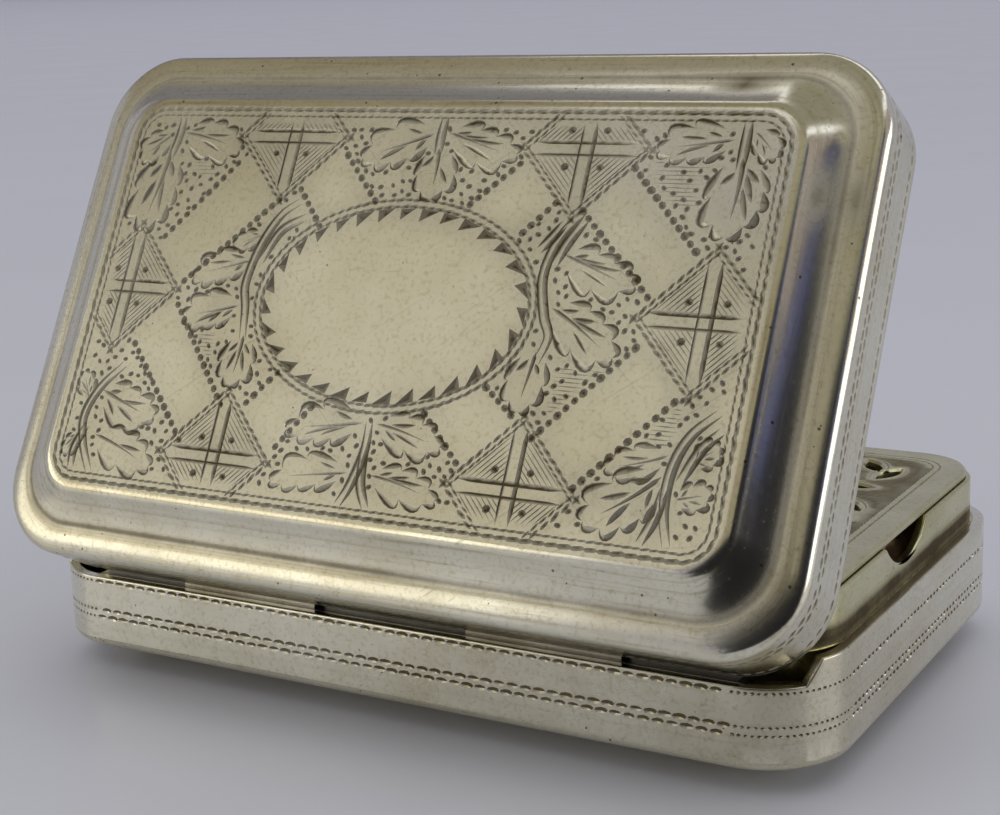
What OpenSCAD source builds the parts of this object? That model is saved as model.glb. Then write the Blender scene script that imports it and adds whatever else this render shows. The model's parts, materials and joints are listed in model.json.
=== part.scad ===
// Small silver box with rounded corners: a stamped lid on a five-knuckle hinge,
// a gilt inner bezel, and a pierced gilt grille hinged over a scented sponge.
// Origin at the middle of the flat underside, +X along the lid hinge, -Y the hinge side.

/* [Box] */
// Length of the box along the lid hinge
box_l = 38; // [35:0.5:44]
// Width of the box across the lid hinge
box_w = 23.7; // [21:0.1:28]
// Radius of the upright corners
corner_r = 3.5; // [3.2:0.1:4.2]
// Thickness of the upright side walls
wall_t = 0.5; // [0.45:0.05:0.6]
// Height of the base's upright wall
base_wall_h = 3.9; // [3.4:0.1:6]
// Height of the lid's upright wall
lid_wall_h = 2.95; // [2.9:0.05:4.5]
// Gap between the mouth of the closed lid and the base wall
seam_gap = 0.1; // [0.06:0.02:0.16]
// Angle at which the lid stands open
lid_open = 61; // [0:1:95]

/* [Stamped sheets] */
// Thickness of the stamped top and bottom sheets
sheet_t = 0.4; // [0.3:0.05:0.42]
// Radius of the turned rim edge
rim_r = 0.45; // [0.43:0.01:0.55]
// Angle through which the rim turns before the sloping outer band
rim_turn = 70; // [60:1:78]
// Inset of the line where the outer band meets the hollow moulding
band_w = 1.25; // [1:0.05:1.6]
// Width of the hollow moulding
cove_w = 1.5; // [1.2:0.05:1.8]
// Rise of the hollow moulding up to the flat panel
cove_h = 0.95; // [0.7:0.05:1.2]
// Angle through which the hollow moulding sweeps
cove_turn = 80; // [65:1:85]
// Corner radius of the flat raised panel
panel_r = 1.9; // [1.4:0.1:2.4]

/* [Lid hinge] */
// Inset of the hinge axis from the front face
hinge_in = 0.8; // [0.75:0.01:0.95]
// Outer radius of the hinge knuckles
knuckle_r = 0.6; // [0.5:0.01:0.62]
// Radius of the hinge pin
pin_r = 0.3; // [0.2:0.01:0.35]
// Running clearance of the pin in its bore
pin_clear = 0.03; // [0.02:0.01:0.06]
// Distance from the end of the box to the end of the hinge
hinge_end = 3.4; // [3:0.1:5]
// Length of the middle lid knuckle
knuckle_mid_l = 7.4; // [5:0.1:9]
// Length of each base knuckle
knuckle_base_l = 7.1; // [5:0.1:8]
// Gap between neighbouring knuckles
knuckle_gap = 0.08; // [0.06:0.01:0.15]
// Clearance round a turning knuckle
swing_clear = 0.08; // [0.06:0.01:0.12]
// Depth of the cut in the base's front wall below the seam
front_cut = 0.95; // [0.92:0.01:1.1]
// Length of the cut from the front face
front_cut_l = 1.75; // [1.6:0.01:1.9]
// Thickness of the saddles between base knuckles and base wall
saddle_t = 0.18; // [0.1:0.01:0.2]
// Half width of the step under each saddle
saddle_foot = 0.2; // [0.15:0.01:0.22]
// Reach of the base bearer behind the hinge axis
bearer_back = 0.75; // [0.72:0.01:0.9]
// Clearance between the lid bearer and the bezel
lid_bearer_clear = 0.25; // [0.15:0.01:0.3]
// Depth of the base bearer below its step
bearer_h = 0.65; // [0.4:0.05:1]
// Height of the lid bearer above the hinge axis
lid_bearer_h = 1.15; // [0.95:0.05:1.4]

/* [Bezel] */
// Height of the bezel above the seam
bezel_h = 2; // [1.5:0.05:2]
// Thickness of the bezel
bezel_t = 0.4; // [0.3:0.05:0.5]
// Clearance between the bezel and the lid's side walls
bezel_clear = 0.08; // [0.06:0.01:0.15]
// Clearance between the bezel and the lid's back wall
bezel_back_clear = 0.25; // [0.2:0.01:0.4]
// Depth of the bezel's skirt inside the base wall
skirt_h = 1.2; // [0.8:0.1:2]
// Length of the thumbnail notch in the bezel
notch_l = 5.1; // [4:0.1:8]
// Depth of the thumbnail notch
notch_d = 1.15; // [0.6:0.05:1.4]
// Place of the thumbnail notch along the right side
notch_y = -0.2; // [-3:0.1:3]

/* [Grille] */
// Thickness of the pierced plate
grille_t = 0.3; // [0.2:0.05:0.35]
// Inset of the plate's edge from the bezel's face
grille_in = 0.2; // [0.1:0.05:0.3]
// Gap under the plate where it rests on the bezel
grille_gap = 0.05; // [0.03:0.01:0.08]
// Plain margin between the plate's edge and the piercings
grille_margin = 1.9; // [1.5:0.1:3]
// Outer radius of the grille's hinge knuckles
grille_knuckle_r = 0.42; // [0.4:0.01:0.46]
// Radius of the grille's hinge pin
grille_pin_r = 0.2; // [0.12:0.01:0.22]
// Length of the grille's own knuckle
grille_knuckle_l = 3.2; // [2:0.1:4]
// Length of each fixed knuckle beside it
grille_end_l = 2.3; // [1.5:0.1:3]
// Distance from the hinge axis to the plate's straight edge
grille_edge = 0.1; // [0.08:0.01:0.2]
// Petals in the middle rosette
rosette_petals = 8; // [6:1:10]
// Petals in each side rosette
side_petals = 6; // [5:1:7]
// Length of a rosette petal
petal_l = 2.4; // [1.6:0.1:2.6]
// Width of a rosette petal
petal_w = 0.8; // [0.5:0.05:0.9]
// Inner radius of the ring of petals
petal_in = 1; // [0.9:0.1:1.6]
// Length of a leaf piercing
leaf_l = 2; // [1.4:0.1:2.4]
// Width of a leaf piercing
leaf_w = 0.75; // [0.5:0.05:0.9]
// Radius of the scrolls that the leaves follow
scroll_r = 2.9; // [2.7:0.1:3.1]
// Leaves along each scroll
scroll_leaves = 7; // [5:1:7]
// Angle at which a scroll starts
scroll_start = 20; // [10:1:30]
// Angle that the leaves of a scroll sweep
scroll_sweep = 280; // [240:5:285]
// Lean of each leaf from the scroll's radius
leaf_lean = 55; // [50:1:60]
// Distance from a fan's root to its leaves
fan_in = 0.6; // [0.5:0.05:0.8]
// Angle between the leaves of a fan
fan_turn = 48; // [42:1:55]

/* [Sponge] */
// Clearance between the sponge and the metal round it
sponge_clear = 0.3; // [0.15:0.05:0.6]
// Corner radius of the sponge
sponge_r = 2; // [1:0.1:2.4]
// Gap between the sponge and the bottom sheet
sponge_seat = 0.05; // [0.03:0.01:0.1]

/* [Hidden] */
$fn = 64;
corner_steps = 8;
arc_steps = 4;
band_steps = 3;
cove_steps = 6;
over = 1;

half_l = box_l / 2;
half_w = box_w / 2;

panel_in = band_w + cove_w;
arc_in = rim_r * (1 - cos(rim_turn));
arc_h = rim_r * sin(rim_turn);
band_slope = tan(90 - rim_turn);
band_rise = band_slope * (band_w - arc_in) / 2;
cove_z = arc_h + band_rise;
sheet_h = cove_z + cove_h;

seam_z = sheet_h + base_wall_h;
mouth_z = seam_z + seam_gap;
hinge_y = -half_w + hinge_in;
bore_r = pin_r + pin_clear;
saddle_r = knuckle_r + saddle_t;

mid_x = knuckle_mid_l / 2;
base_x = mid_x + knuckle_base_l;
end_x = half_l - hinge_end;

bezel_x = half_l - wall_t - bezel_clear;
bezel_front = hinge_y + bearer_back;
bezel_back = half_w - wall_t - bezel_back_clear;
bezel_r = corner_r - wall_t - bezel_clear;
bezel_z = seam_z + bezel_h;
skirt_z = seam_z - skirt_h;

grille_z = bezel_z + grille_gap;
grille_axis_x = -bezel_x + grille_knuckle_r;
grille_left = grille_axis_x + grille_edge;
grille_right = bezel_x - grille_in;
grille_front = bezel_front + grille_in;
grille_back = bezel_back - grille_in;
grille_r = bezel_r - grille_in;
grille_bore_r = grille_pin_r + pin_clear;
grille_y = (grille_front + grille_back) / 2;
grille_half_y = (grille_back - grille_front) / 2;
field_x = (grille_left + grille_right) / 2;
field_half_x = (grille_right - grille_left) / 2 - grille_margin;
field_half_y = grille_half_y - grille_margin;
scroll_x = field_half_x - scroll_r;
scroll_y = field_half_y - scroll_r;

silver = [0.80, 0.78, 0.71];
gilt = [0.72, 0.62, 0.36];
tan_sponge = [0.72, 0.60, 0.40];

// Flat outlines

// Rectangle between two corners with round corners
module round_rect(x0, y0, x1, y1, r) {
    translate([x0 + r, y0]) square([x1 - x0 - 2 * r, y1 - y0]);
    translate([x0, y0 + r]) square([x1 - x0, y1 - y0 - 2 * r]);
    for (x = [x0 + r, x1 - r], y = [y0 + r, y1 - r]) translate([x, y]) circle(r);
}

// Outline of the box, drawn in by an inset all round
module box_outline(inset) {
    round_rect(-half_l + inset, -half_w + inset, half_l - inset, half_w - inset, corner_r - inset);
}

// Outline of the bezel, drawn in by an inset all round
module bezel_outline(inset) {
    round_rect(-bezel_x + inset, bezel_front + inset, bezel_x - inset, bezel_back - inset,
               bezel_r - inset);
}

// Pointed leaf shape between two arcs, along X
module leaf_outline(length, width) {
    r = (length * length + width * width) / (4 * width);
    intersection() {
        translate([0, r - width / 2]) circle(r);
        translate([0, width / 2 - r]) circle(r);
    }
}

// Stamped sheet: rim edge, sloping band, hollow moulding and raised flat panel

// Outer profile as [inset, height, slope], from the wall up to the panel
function sheet_profile() = concat(
    [for (i = [0:arc_steps])
        let (a = rim_turn * i / arc_steps)
        [rim_r * (1 - cos(a)), rim_r * sin(a), 90 - a]],
    [for (i = [1:band_steps])
        let (s = i / band_steps, run = band_w - arc_in)
        [arc_in + s * run, arc_h + band_slope * run * (s - s * s / 2), atan(band_slope * (1 - s))]],
    [for (i = [1:cove_steps])
        let (t = cove_turn * i / cove_steps, c = 1 - cos(cove_turn))
        [band_w + cove_w * sin(t) / sin(cove_turn), cove_z + cove_h * (1 - cos(t)) / c,
         atan2(cove_h * sin(t) / c, cove_w * cos(t) / sin(cove_turn))]]);

// A profile point moved inwards by the sheet's thickness
function inner_point(p) =
    [p[0] + sheet_t * sin(p[2]), min(p[1] - sheet_t * cos(p[2]), sheet_h - sheet_t)];

// Corner radius at an inset, from the wall's corner to the panel's
function radius_at(inset) = corner_r + (panel_r - corner_r) * inset / panel_in;

// Points of one ring round the sheet
function sheet_ring(inset, z) =
    let (r = radius_at(inset), x = half_l - inset - r, y = half_w - inset - r)
    [for (c = [0:3], k = [0:corner_steps])
        let (a = 90 * (c + k / corner_steps), sx = (c == 0 || c == 3) ? 1 : -1, sy = c < 2 ? 1 : -1)
        [sx * x + r * cos(a), sy * y + r * sin(a), z]];

// Closed sheet with its wall edge at z = 0 and its panel on top
module stamped_sheet() {
    outer = sheet_profile();
    count = len(outer);
    rings = concat(
        [for (p = outer) sheet_ring(p[0], p[1])],
        [for (i = [count - 1:-1:0]) let (q = inner_point(outer[i])) sheet_ring(q[0], q[1])]);
    m = 4 * (corner_steps + 1);
    points = [for (ring = rings, p = ring) p];
    bands = [for (i = [0:2 * count - 1]) if (i != count - 1) i];
    sides = [for (i = bands, k = [0:m - 1])
        let (a = i * m + k, b = i * m + (k + 1) % m, j = (i + 1) % (2 * count),
             c = j * m + (k + 1) % m, d = j * m + k)
        each [[a, c, b], [a, d, c]]];
    top = [for (k = [m - 1:-1:0]) (count - 1) * m + k];
    under = [for (k = [0:m - 1]) count * m + k];
    polyhedron(points, concat(sides, [top, under]), convexity = 6);
}

// Upright wall band of a given height
module wall_band(height) {
    linear_extrude(height) difference() {
        box_outline(0);
        box_outline(wall_t);
    }
}

// Lid hinge

// Solid rod along the lid hinge axis between two places
module hinge_rod(x0, x1, r) {
    translate([x0, hinge_y, seam_z]) rotate([0, 90, 0]) cylinder(r = r, h = x1 - x0);
}

// Hollow knuckle between two joints, short of them by half the gap
module lid_hinge_knuckle(x0, x1) {
    g = knuckle_gap / 2;
    difference() {
        hinge_rod(x0 + g, x1 - g, knuckle_r);
        hinge_rod(x0 - over, x1 + over, bore_r);
    }
}

// Bar along the hinge with a profile drawn in [Y, Z] from the hinge axis
module hinge_bar(x0, x1) {
    translate([x0, hinge_y, seam_z]) rotate([90, 0, 90]) linear_extrude(x1 - x0) children();
}

// Room in the lid for the base knuckles and their saddles
module base_knuckle_room() {
    g = knuckle_gap / 2;
    for (s = [-1, 1]) {
        x = s * (mid_x + base_x) / 2;
        half = knuckle_base_l / 2 + g;
        hinge_rod(x - half, x + half, saddle_r + swing_clear);
    }
}

// Turns the closed lid to the angle at which it stands open
module opened() {
    translate([0, hinge_y, seam_z]) rotate([lid_open, 0, 0]) translate([0, -hinge_y, -seam_z])
        children();
}

// Base

module base_pan() {
    color(silver) translate([0, 0, sheet_h]) mirror([0, 0, 1]) stamped_sheet();
}

module base_wall() {
    color(silver) difference() {
        translate([0, 0, sheet_h]) wall_band(base_wall_h);
        translate([-half_l - over, -half_w - over, seam_z - front_cut])
            cube([box_l + 2 * over, front_cut_l + over, front_cut + over]);
    }
}

// Strip inside the front wall that carries the base knuckles on two saddles
module base_bearer() {
    g = knuckle_gap / 2;
    wall_y = wall_t - hinge_in;
    color(silver) {
        difference() {
            hinge_bar(-end_x, end_x) {
                translate([wall_y, -front_cut - bearer_h]) square([bearer_back - wall_y, bearer_h]);
                translate([saddle_foot, -front_cut])
                    square([bearer_back - saddle_foot, front_cut - g]);
            }
            hinge_rod(-end_x - over, end_x + over, knuckle_r + swing_clear);
        }
        for (s = [-1, 1]) {
            x = s * (mid_x + base_x) / 2;
            half = knuckle_base_l / 2 - g;
            hinge_bar(x - half, x + half) difference() {
                union() {
                    intersection() {
                        circle(saddle_r);
                        translate([-over, -g - over]) square([over + bearer_back, over]);
                    }
                    translate([-saddle_foot, -front_cut]) square([2 * saddle_foot, front_cut - g]);
                }
                circle(knuckle_r);
            }
        }
    }
}

module base_knuckle_left() {
    color(silver) lid_hinge_knuckle(-base_x, -mid_x);
}

module base_knuckle_right() {
    color(silver) lid_hinge_knuckle(mid_x, base_x);
}

module lid_hinge_pin() {
    color(silver) hinge_rod(-end_x, end_x, pin_r);
}

// Gilt rim inside the base wall that the lid closes over
module bezel() {
    notch_r = (notch_l * notch_l / 4 + notch_d * notch_d) / (2 * notch_d);
    g = knuckle_gap / 2;
    own = grille_knuckle_l / 2 + g;
    ends = own + grille_end_l + g;
    color(gilt) difference() {
        union() {
            translate([0, 0, skirt_z]) linear_extrude(bezel_z - skirt_z) bezel_outline(0);
            translate([0, 0, skirt_z]) linear_extrude(skirt_h - seam_gap) intersection() {
                box_outline(wall_t);
                translate([-half_l, bezel_front]) square([box_l, box_w]);
            }
        }
        translate([0, 0, skirt_z - over]) linear_extrude(bezel_z - skirt_z + 2 * over)
            bezel_outline(bezel_t);
        translate([bezel_x - bezel_t - over, notch_y, bezel_z + notch_r - notch_d])
            rotate([0, 90, 0]) cylinder(r = notch_r, h = bezel_t + 2 * over);
        grille_rod(-ends, ends, grille_knuckle_r);
        grille_rod(-own, own, grille_knuckle_r + swing_clear);
    }
}

// Sponge that holds the scent: a block over the panel recess, filling it
module sponge() {
    side = bezel_t + sponge_clear;
    floor_in = panel_in + sheet_t + sponge_clear;
    rim_z = cove_h + sheet_t + sponge_clear;
    top_z = bezel_z - grille_knuckle_r - sponge_clear;
    color(tan_sponge) {
        translate([0, 0, rim_z]) linear_extrude(top_z - rim_z)
            round_rect(-bezel_x + side, bezel_front + side, bezel_x - side, bezel_back - side,
                       sponge_r);
        translate([0, 0, sheet_t + sponge_seat]) linear_extrude(rim_z - sheet_t)
            round_rect(-half_l + floor_in, -half_w + floor_in, half_l - floor_in, half_w - floor_in,
                       panel_r);
    }
}

// Lid, drawn closed and turned open

module lid_top() {
    color(silver) opened() translate([0, 0, mouth_z + lid_wall_h]) stamped_sheet();
}

module lid_wall() {
    color(silver) opened() difference() {
        translate([0, 0, mouth_z]) wall_band(lid_wall_h);
        hinge_rod(-end_x, end_x, knuckle_r);
        base_knuckle_room();
    }
}

// Strip inside the lid's front wall that carries the lid knuckles
module lid_bearer() {
    wall_y = wall_t - hinge_in;
    back_y = bearer_back - lid_bearer_clear;
    color(silver) opened() difference() {
        hinge_bar(-end_x, end_x)
            translate([wall_y, seam_gap]) square([back_y - wall_y, lid_bearer_h - seam_gap]);
        hinge_rod(-end_x - over, end_x + over, knuckle_r);
        base_knuckle_room();
    }
}

module lid_knuckle_left() {
    color(silver) opened() lid_hinge_knuckle(-end_x, -base_x);
}

module lid_knuckle_middle() {
    color(silver) opened() lid_hinge_knuckle(-mid_x, mid_x);
}

module lid_knuckle_right() {
    color(silver) opened() lid_hinge_knuckle(base_x, end_x);
}

// Grille

// Solid rod along the grille's hinge axis between two places
module grille_rod(y0, y1, r) {
    translate([grille_axis_x, grille_y + y1, bezel_z]) rotate([90, 0, 0])
        cylinder(r = r, h = y1 - y0);
}

// Hollow knuckle of the grille's hinge
module grille_hinge_knuckle(y0, y1) {
    g = knuckle_gap / 2;
    difference() {
        grille_rod(y0 + g, y1 - g, grille_knuckle_r);
        grille_rod(y0 - over, y1 + over, grille_bore_r);
    }
}

module grille_knuckle_front() {
    y = grille_knuckle_l / 2;
    color(gilt) grille_hinge_knuckle(-y - grille_end_l, -y);
}

module grille_knuckle_back() {
    y = grille_knuckle_l / 2;
    color(gilt) grille_hinge_knuckle(y, y + grille_end_l);
}

module grille_knuckle_middle() {
    y = grille_knuckle_l / 2;
    color(gilt) grille_hinge_knuckle(-y, y);
}

module grille_hinge_pin() {
    y = grille_knuckle_l / 2 + grille_end_l;
    color(gilt) grille_rod(-y, y, grille_pin_r);
}

// Ring of petals pierced round a point
module rosette(petals, length, width) {
    for (i = [0:petals - 1])
        rotate(360 * i / petals) translate([petal_in + length / 2, 0]) leaf_outline(length, width);
}

// Leaves pierced along one curled scroll
module scroll() {
    for (i = [0:scroll_leaves - 1]) {
        rotate(scroll_start + scroll_sweep * i / (scroll_leaves - 1))
            translate([scroll_r - leaf_l / 2, 0]) rotate(leaf_lean) leaf_outline(leaf_l, leaf_w);
    }
}

// Leaves pierced in a fan that opens along +X from its root
module fan() {
    for (i = [-1:1])
        rotate(fan_turn * i) translate([fan_in + leaf_l / 2, 0]) leaf_outline(leaf_l, leaf_w);
}

// Pierced work: a middle rosette, a smaller one each side, four scrolls, and fans between them
module piercings() {
    side_x = (scroll_x + petal_in + petal_l) / 2;
    fan_x = side_x / 2;
    rosette(rosette_petals, petal_l, petal_w);
    for (s = [0, 1]) mirror([s, 0]) {
        translate([side_x, 0]) rosette(side_petals, leaf_l, leaf_w);
        translate([field_half_x, 0]) rotate(180) fan();
    }
    for (sx = [0, 1], sy = [0, 1]) mirror([sx, 0]) mirror([0, sy]) {
        translate([scroll_x, scroll_y]) scroll();
        translate([fan_x, field_half_y]) rotate(-90) fan();
    }
}

module grille_plate() {
    g = knuckle_gap / 2;
    own = grille_knuckle_l / 2;
    ends = own + grille_end_l + g;
    color(gilt) difference() {
        translate([0, 0, grille_z]) linear_extrude(grille_t) difference() {
            round_rect(grille_left, grille_front, grille_right, grille_back, grille_r);
            translate([field_x, grille_y]) piercings();
        }
        grille_rod(-ends, ends, grille_knuckle_r);
        for (s = [-1, 1]) {
            y = s * (own + ends) / 2;
            half = (ends - own) / 2 + g;
            grille_rod(y - half, y + half, grille_knuckle_r + swing_clear);
        }
    }
}

base_pan();
base_wall();
base_bearer();
base_knuckle_left();
base_knuckle_right();
lid_hinge_pin();
bezel();
grille_knuckle_front();
grille_knuckle_back();
grille_hinge_pin();
sponge();
lid_top();
lid_wall();
lid_bearer();
lid_knuckle_left();
lid_knuckle_middle();
lid_knuckle_right();
grille_plate();
grille_knuckle_middle();
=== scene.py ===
"""Looks of the silver vinaigrette, built round its packed construction.

Sizes are in millimetres in the part's own frame, with +Z up and the lid hinge along -Y.
They become metres when a mesh is made.
"""

import json
import logging
import math
import random
from dataclasses import dataclass, field
from enum import Enum
from functools import cache
from typing import Any, Callable, Iterable, NamedTuple, Sequence

import bmesh
import bpy
import numpy as np
from mathutils import Matrix, Quaternion, Vector, noise
from mathutils.geometry import delaunay_2d_cdt


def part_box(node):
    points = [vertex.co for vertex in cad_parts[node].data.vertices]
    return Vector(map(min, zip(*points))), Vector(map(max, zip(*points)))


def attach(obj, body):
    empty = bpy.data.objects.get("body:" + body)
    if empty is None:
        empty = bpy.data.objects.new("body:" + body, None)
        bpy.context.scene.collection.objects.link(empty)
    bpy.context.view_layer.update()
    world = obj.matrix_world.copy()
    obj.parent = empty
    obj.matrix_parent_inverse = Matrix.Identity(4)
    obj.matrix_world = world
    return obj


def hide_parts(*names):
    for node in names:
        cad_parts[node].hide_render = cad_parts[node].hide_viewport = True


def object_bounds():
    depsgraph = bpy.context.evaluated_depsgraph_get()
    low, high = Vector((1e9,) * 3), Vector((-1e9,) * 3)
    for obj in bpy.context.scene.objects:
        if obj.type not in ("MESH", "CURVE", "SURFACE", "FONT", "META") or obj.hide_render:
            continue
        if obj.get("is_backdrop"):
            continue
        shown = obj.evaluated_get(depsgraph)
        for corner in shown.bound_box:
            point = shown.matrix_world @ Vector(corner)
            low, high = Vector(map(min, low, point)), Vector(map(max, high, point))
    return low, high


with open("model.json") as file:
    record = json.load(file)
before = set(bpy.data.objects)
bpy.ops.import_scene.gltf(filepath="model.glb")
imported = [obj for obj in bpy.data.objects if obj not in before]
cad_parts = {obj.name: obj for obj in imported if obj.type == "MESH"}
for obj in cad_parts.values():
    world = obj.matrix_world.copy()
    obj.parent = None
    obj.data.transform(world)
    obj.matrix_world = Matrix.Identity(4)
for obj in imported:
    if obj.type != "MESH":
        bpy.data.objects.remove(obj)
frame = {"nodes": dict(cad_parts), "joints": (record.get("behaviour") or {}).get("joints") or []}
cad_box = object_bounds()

LOG = logging.getLogger("vinaigrette")

MM = 0.001
WELD = 1e-7
SHARP_ANGLE = math.radians(32)
CDT_STEP = 1e-4
LINE_STEP = 0.07
LEAST_LINE = 6
CORNER_STEPS = 16
STEP_WIDTH = 2e-4
SEAM_GAP = 0.1
# Mesh attribute of dirt and painted shade; both darken a finish towards its dirt colour.
GRIME_AND_SHADE = "grime_and_shade"
CUT = "cut"
FLOW = "flow"
IMAGE_W = 1000
SENSOR_W = 36.0

Array = np.ndarray
Finish = bpy.types.Material
Mesh = bpy.types.Mesh
Tree = bpy.types.GeometryNodeTree
Point = tuple[float, float]
Triple = tuple[float, float, float]
Colour = tuple[float, float, float, float]
Path = Sequence[Point]
Lip = Callable[[Array, float], Array]


def node_box(node: str) -> tuple[Array, Array]:
    """Lowest and highest corner of a CAD node at rest, in millimetres."""
    low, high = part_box(node)
    return np.array(low) / MM, np.array(high) / MM


def joint_named(name: str) -> dict[str, Any]:
    """The record's entry for one joint."""
    return next(j for j in frame["joints"] if j["name"] == name)


# Node trees


class Wire:
    """One output socket, with Python's operators for the Math nodes that follow it."""

    def __init__(self, wiring: "Wiring", socket: bpy.types.NodeSocket) -> None:
        """Keeps the socket and the tree that it belongs to."""
        self.wiring = wiring
        self.socket = socket

    def out(self, name: str) -> "Wire":
        """Another output of the same node."""
        return Wire(self.wiring, self.socket.node.outputs[name])

    def math(self, operation: str, *others: "Wire | float") -> "Wire":
        """This value put through one Math node with the others."""
        return self.wiring.math(operation, self, *others)

    def clamped(self) -> "Wire":
        """This value kept between 0 and 1."""
        return self.math("MINIMUM", 1.0).math("MAXIMUM", 0.0)

    def __add__(self, other: "Wire | float") -> "Wire":
        """Sum."""
        return self.math("ADD", other)

    def __radd__(self, other: float) -> "Wire":
        """Sum with a number on the left."""
        return self.wiring.math("ADD", other, self)

    def __sub__(self, other: "Wire | float") -> "Wire":
        """Difference."""
        return self.math("SUBTRACT", other)

    def __rsub__(self, other: float) -> "Wire":
        """Difference from a number."""
        return self.wiring.math("SUBTRACT", other, self)

    def __mul__(self, other: "Wire | float") -> "Wire":
        """Product."""
        return self.math("MULTIPLY", other)

    def __rmul__(self, other: float) -> "Wire":
        """Product with a number on the left."""
        return self.wiring.math("MULTIPLY", other, self)


class Wiring:
    """Adds and links the nodes of one shader or geometry tree."""

    def __init__(self, tree: bpy.types.NodeTree) -> None:
        """Keeps the tree, which is emptied first."""
        self.tree = tree
        tree.nodes.clear()

    def node(self, kind: str, inputs: dict[str | int, Any] | None = None, output: str | int = 0,
             **settings: Any) -> Wire:
        """Adds a node.

        Args:
            kind: Blender's type of the node.
            inputs: Values or wires for its sockets, by identifier, name or index.
            output: The output that is handed back.
            settings: Its own options, set first.

        Returns:
            That output, or an empty wire on the node's first input where it has none.
        """
        made = self.tree.nodes.new(kind)
        for name, value in settings.items():
            setattr(made, name, value)
        for name, value in (inputs or {}).items():
            socket = ([s for s in made.inputs if s.identifier == name] or [made.inputs[name]])[0]
            if isinstance(value, Wire):
                self.tree.links.new(value.socket, socket)
            else:
                socket.default_value = value
        return Wire(self, (made.outputs or made.inputs)[output])

    def math(self, operation: str, *values: "Wire | float") -> Wire:
        """One Math node on values or wires."""
        return self.node("ShaderNodeMath", dict(enumerate(values)), operation=operation)

    def mix(self, share: Wire, first: Any, second: Any) -> Wire:
        """Mixes two colours by a share."""
        return self.node("ShaderNodeMix", {"Factor_Float": share, "A_Color": first, "B_Color": second}, 2,
                         data_type="RGBA")

    def noise(self, place: Wire, scale: float, detail: float, roughness: float = 0.5) -> Wire:
        """Noise texture at a place."""
        return self.node("ShaderNodeTexNoise", {"Vector": place, "Scale": scale, "Detail": detail,
                                                "Roughness": roughness}, "Fac")

    def attribute(self, name: str, output: str = "Fac") -> Wire:
        """An attribute of the mesh."""
        return self.node("ShaderNodeAttribute", output=output, attribute_name=name)

    def bump(self, height: Wire, strength: float, distance: float) -> Wire:
        """Normal tilted by a height."""
        return self.node("ShaderNodeBump", {"Height": height, "Strength": strength, "Distance": distance},
                         "Normal")

    def surface(self, inputs: dict[str, Any]) -> None:
        """Ends a material's tree with one shader."""
        shader = self.node("ShaderNodeBsdfPrincipled", inputs)
        self.node("ShaderNodeOutputMaterial", {"Surface": shader})


# Finishes


class Look:
    """A material that draws its own tree."""

    name: str

    def draw(self, w: Wiring) -> None:
        """Draws the tree."""
        raise NotImplementedError

    def make(self) -> Finish:
        """Builds the material."""
        material = bpy.data.materials.new(self.name)
        material.use_nodes = True
        self.draw(Wiring(material.node_tree))
        return material


class Hairlines(NamedTuple):
    """One family of thin scratches that run one way.

    The size is that of the pattern along its own axes, in metres, and the rise is how far above its
    mean the pattern must come to make a scratch.
    """

    turn: Triple
    size: Triple
    rise: float

    def draw(self, wiring: Wiring, place: Wire) -> Wire:
        """Draws the scratches.

        Args:
            wiring: The material's tree.
            place: Object coordinates.

        Returns:
            1 in a scratch and 0 beside it.
        """
        turned = wiring.node("ShaderNodeMapping", {"Vector": place, "Rotation": self.turn,
                                                   "Scale": self.size}, vector_type="TEXTURE")
        grain = wiring.noise(turned, 1.0, 1.0, 0.4)
        return ((grain - 0.5 - self.rise) * 14.0).clamped()


HAIRLINES = (Hairlines((0.0, -0.553, 0.347), (0.011, 0.00012, 0.00012), 0.19),
             Hairlines((0.0, 0.62, -0.40), (0.007, 0.0001, 0.0001), 0.20),
             Hairlines((0.0, -0.05, 0.1), (0.008, 0.00011, 0.00011), 0.22))


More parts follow.
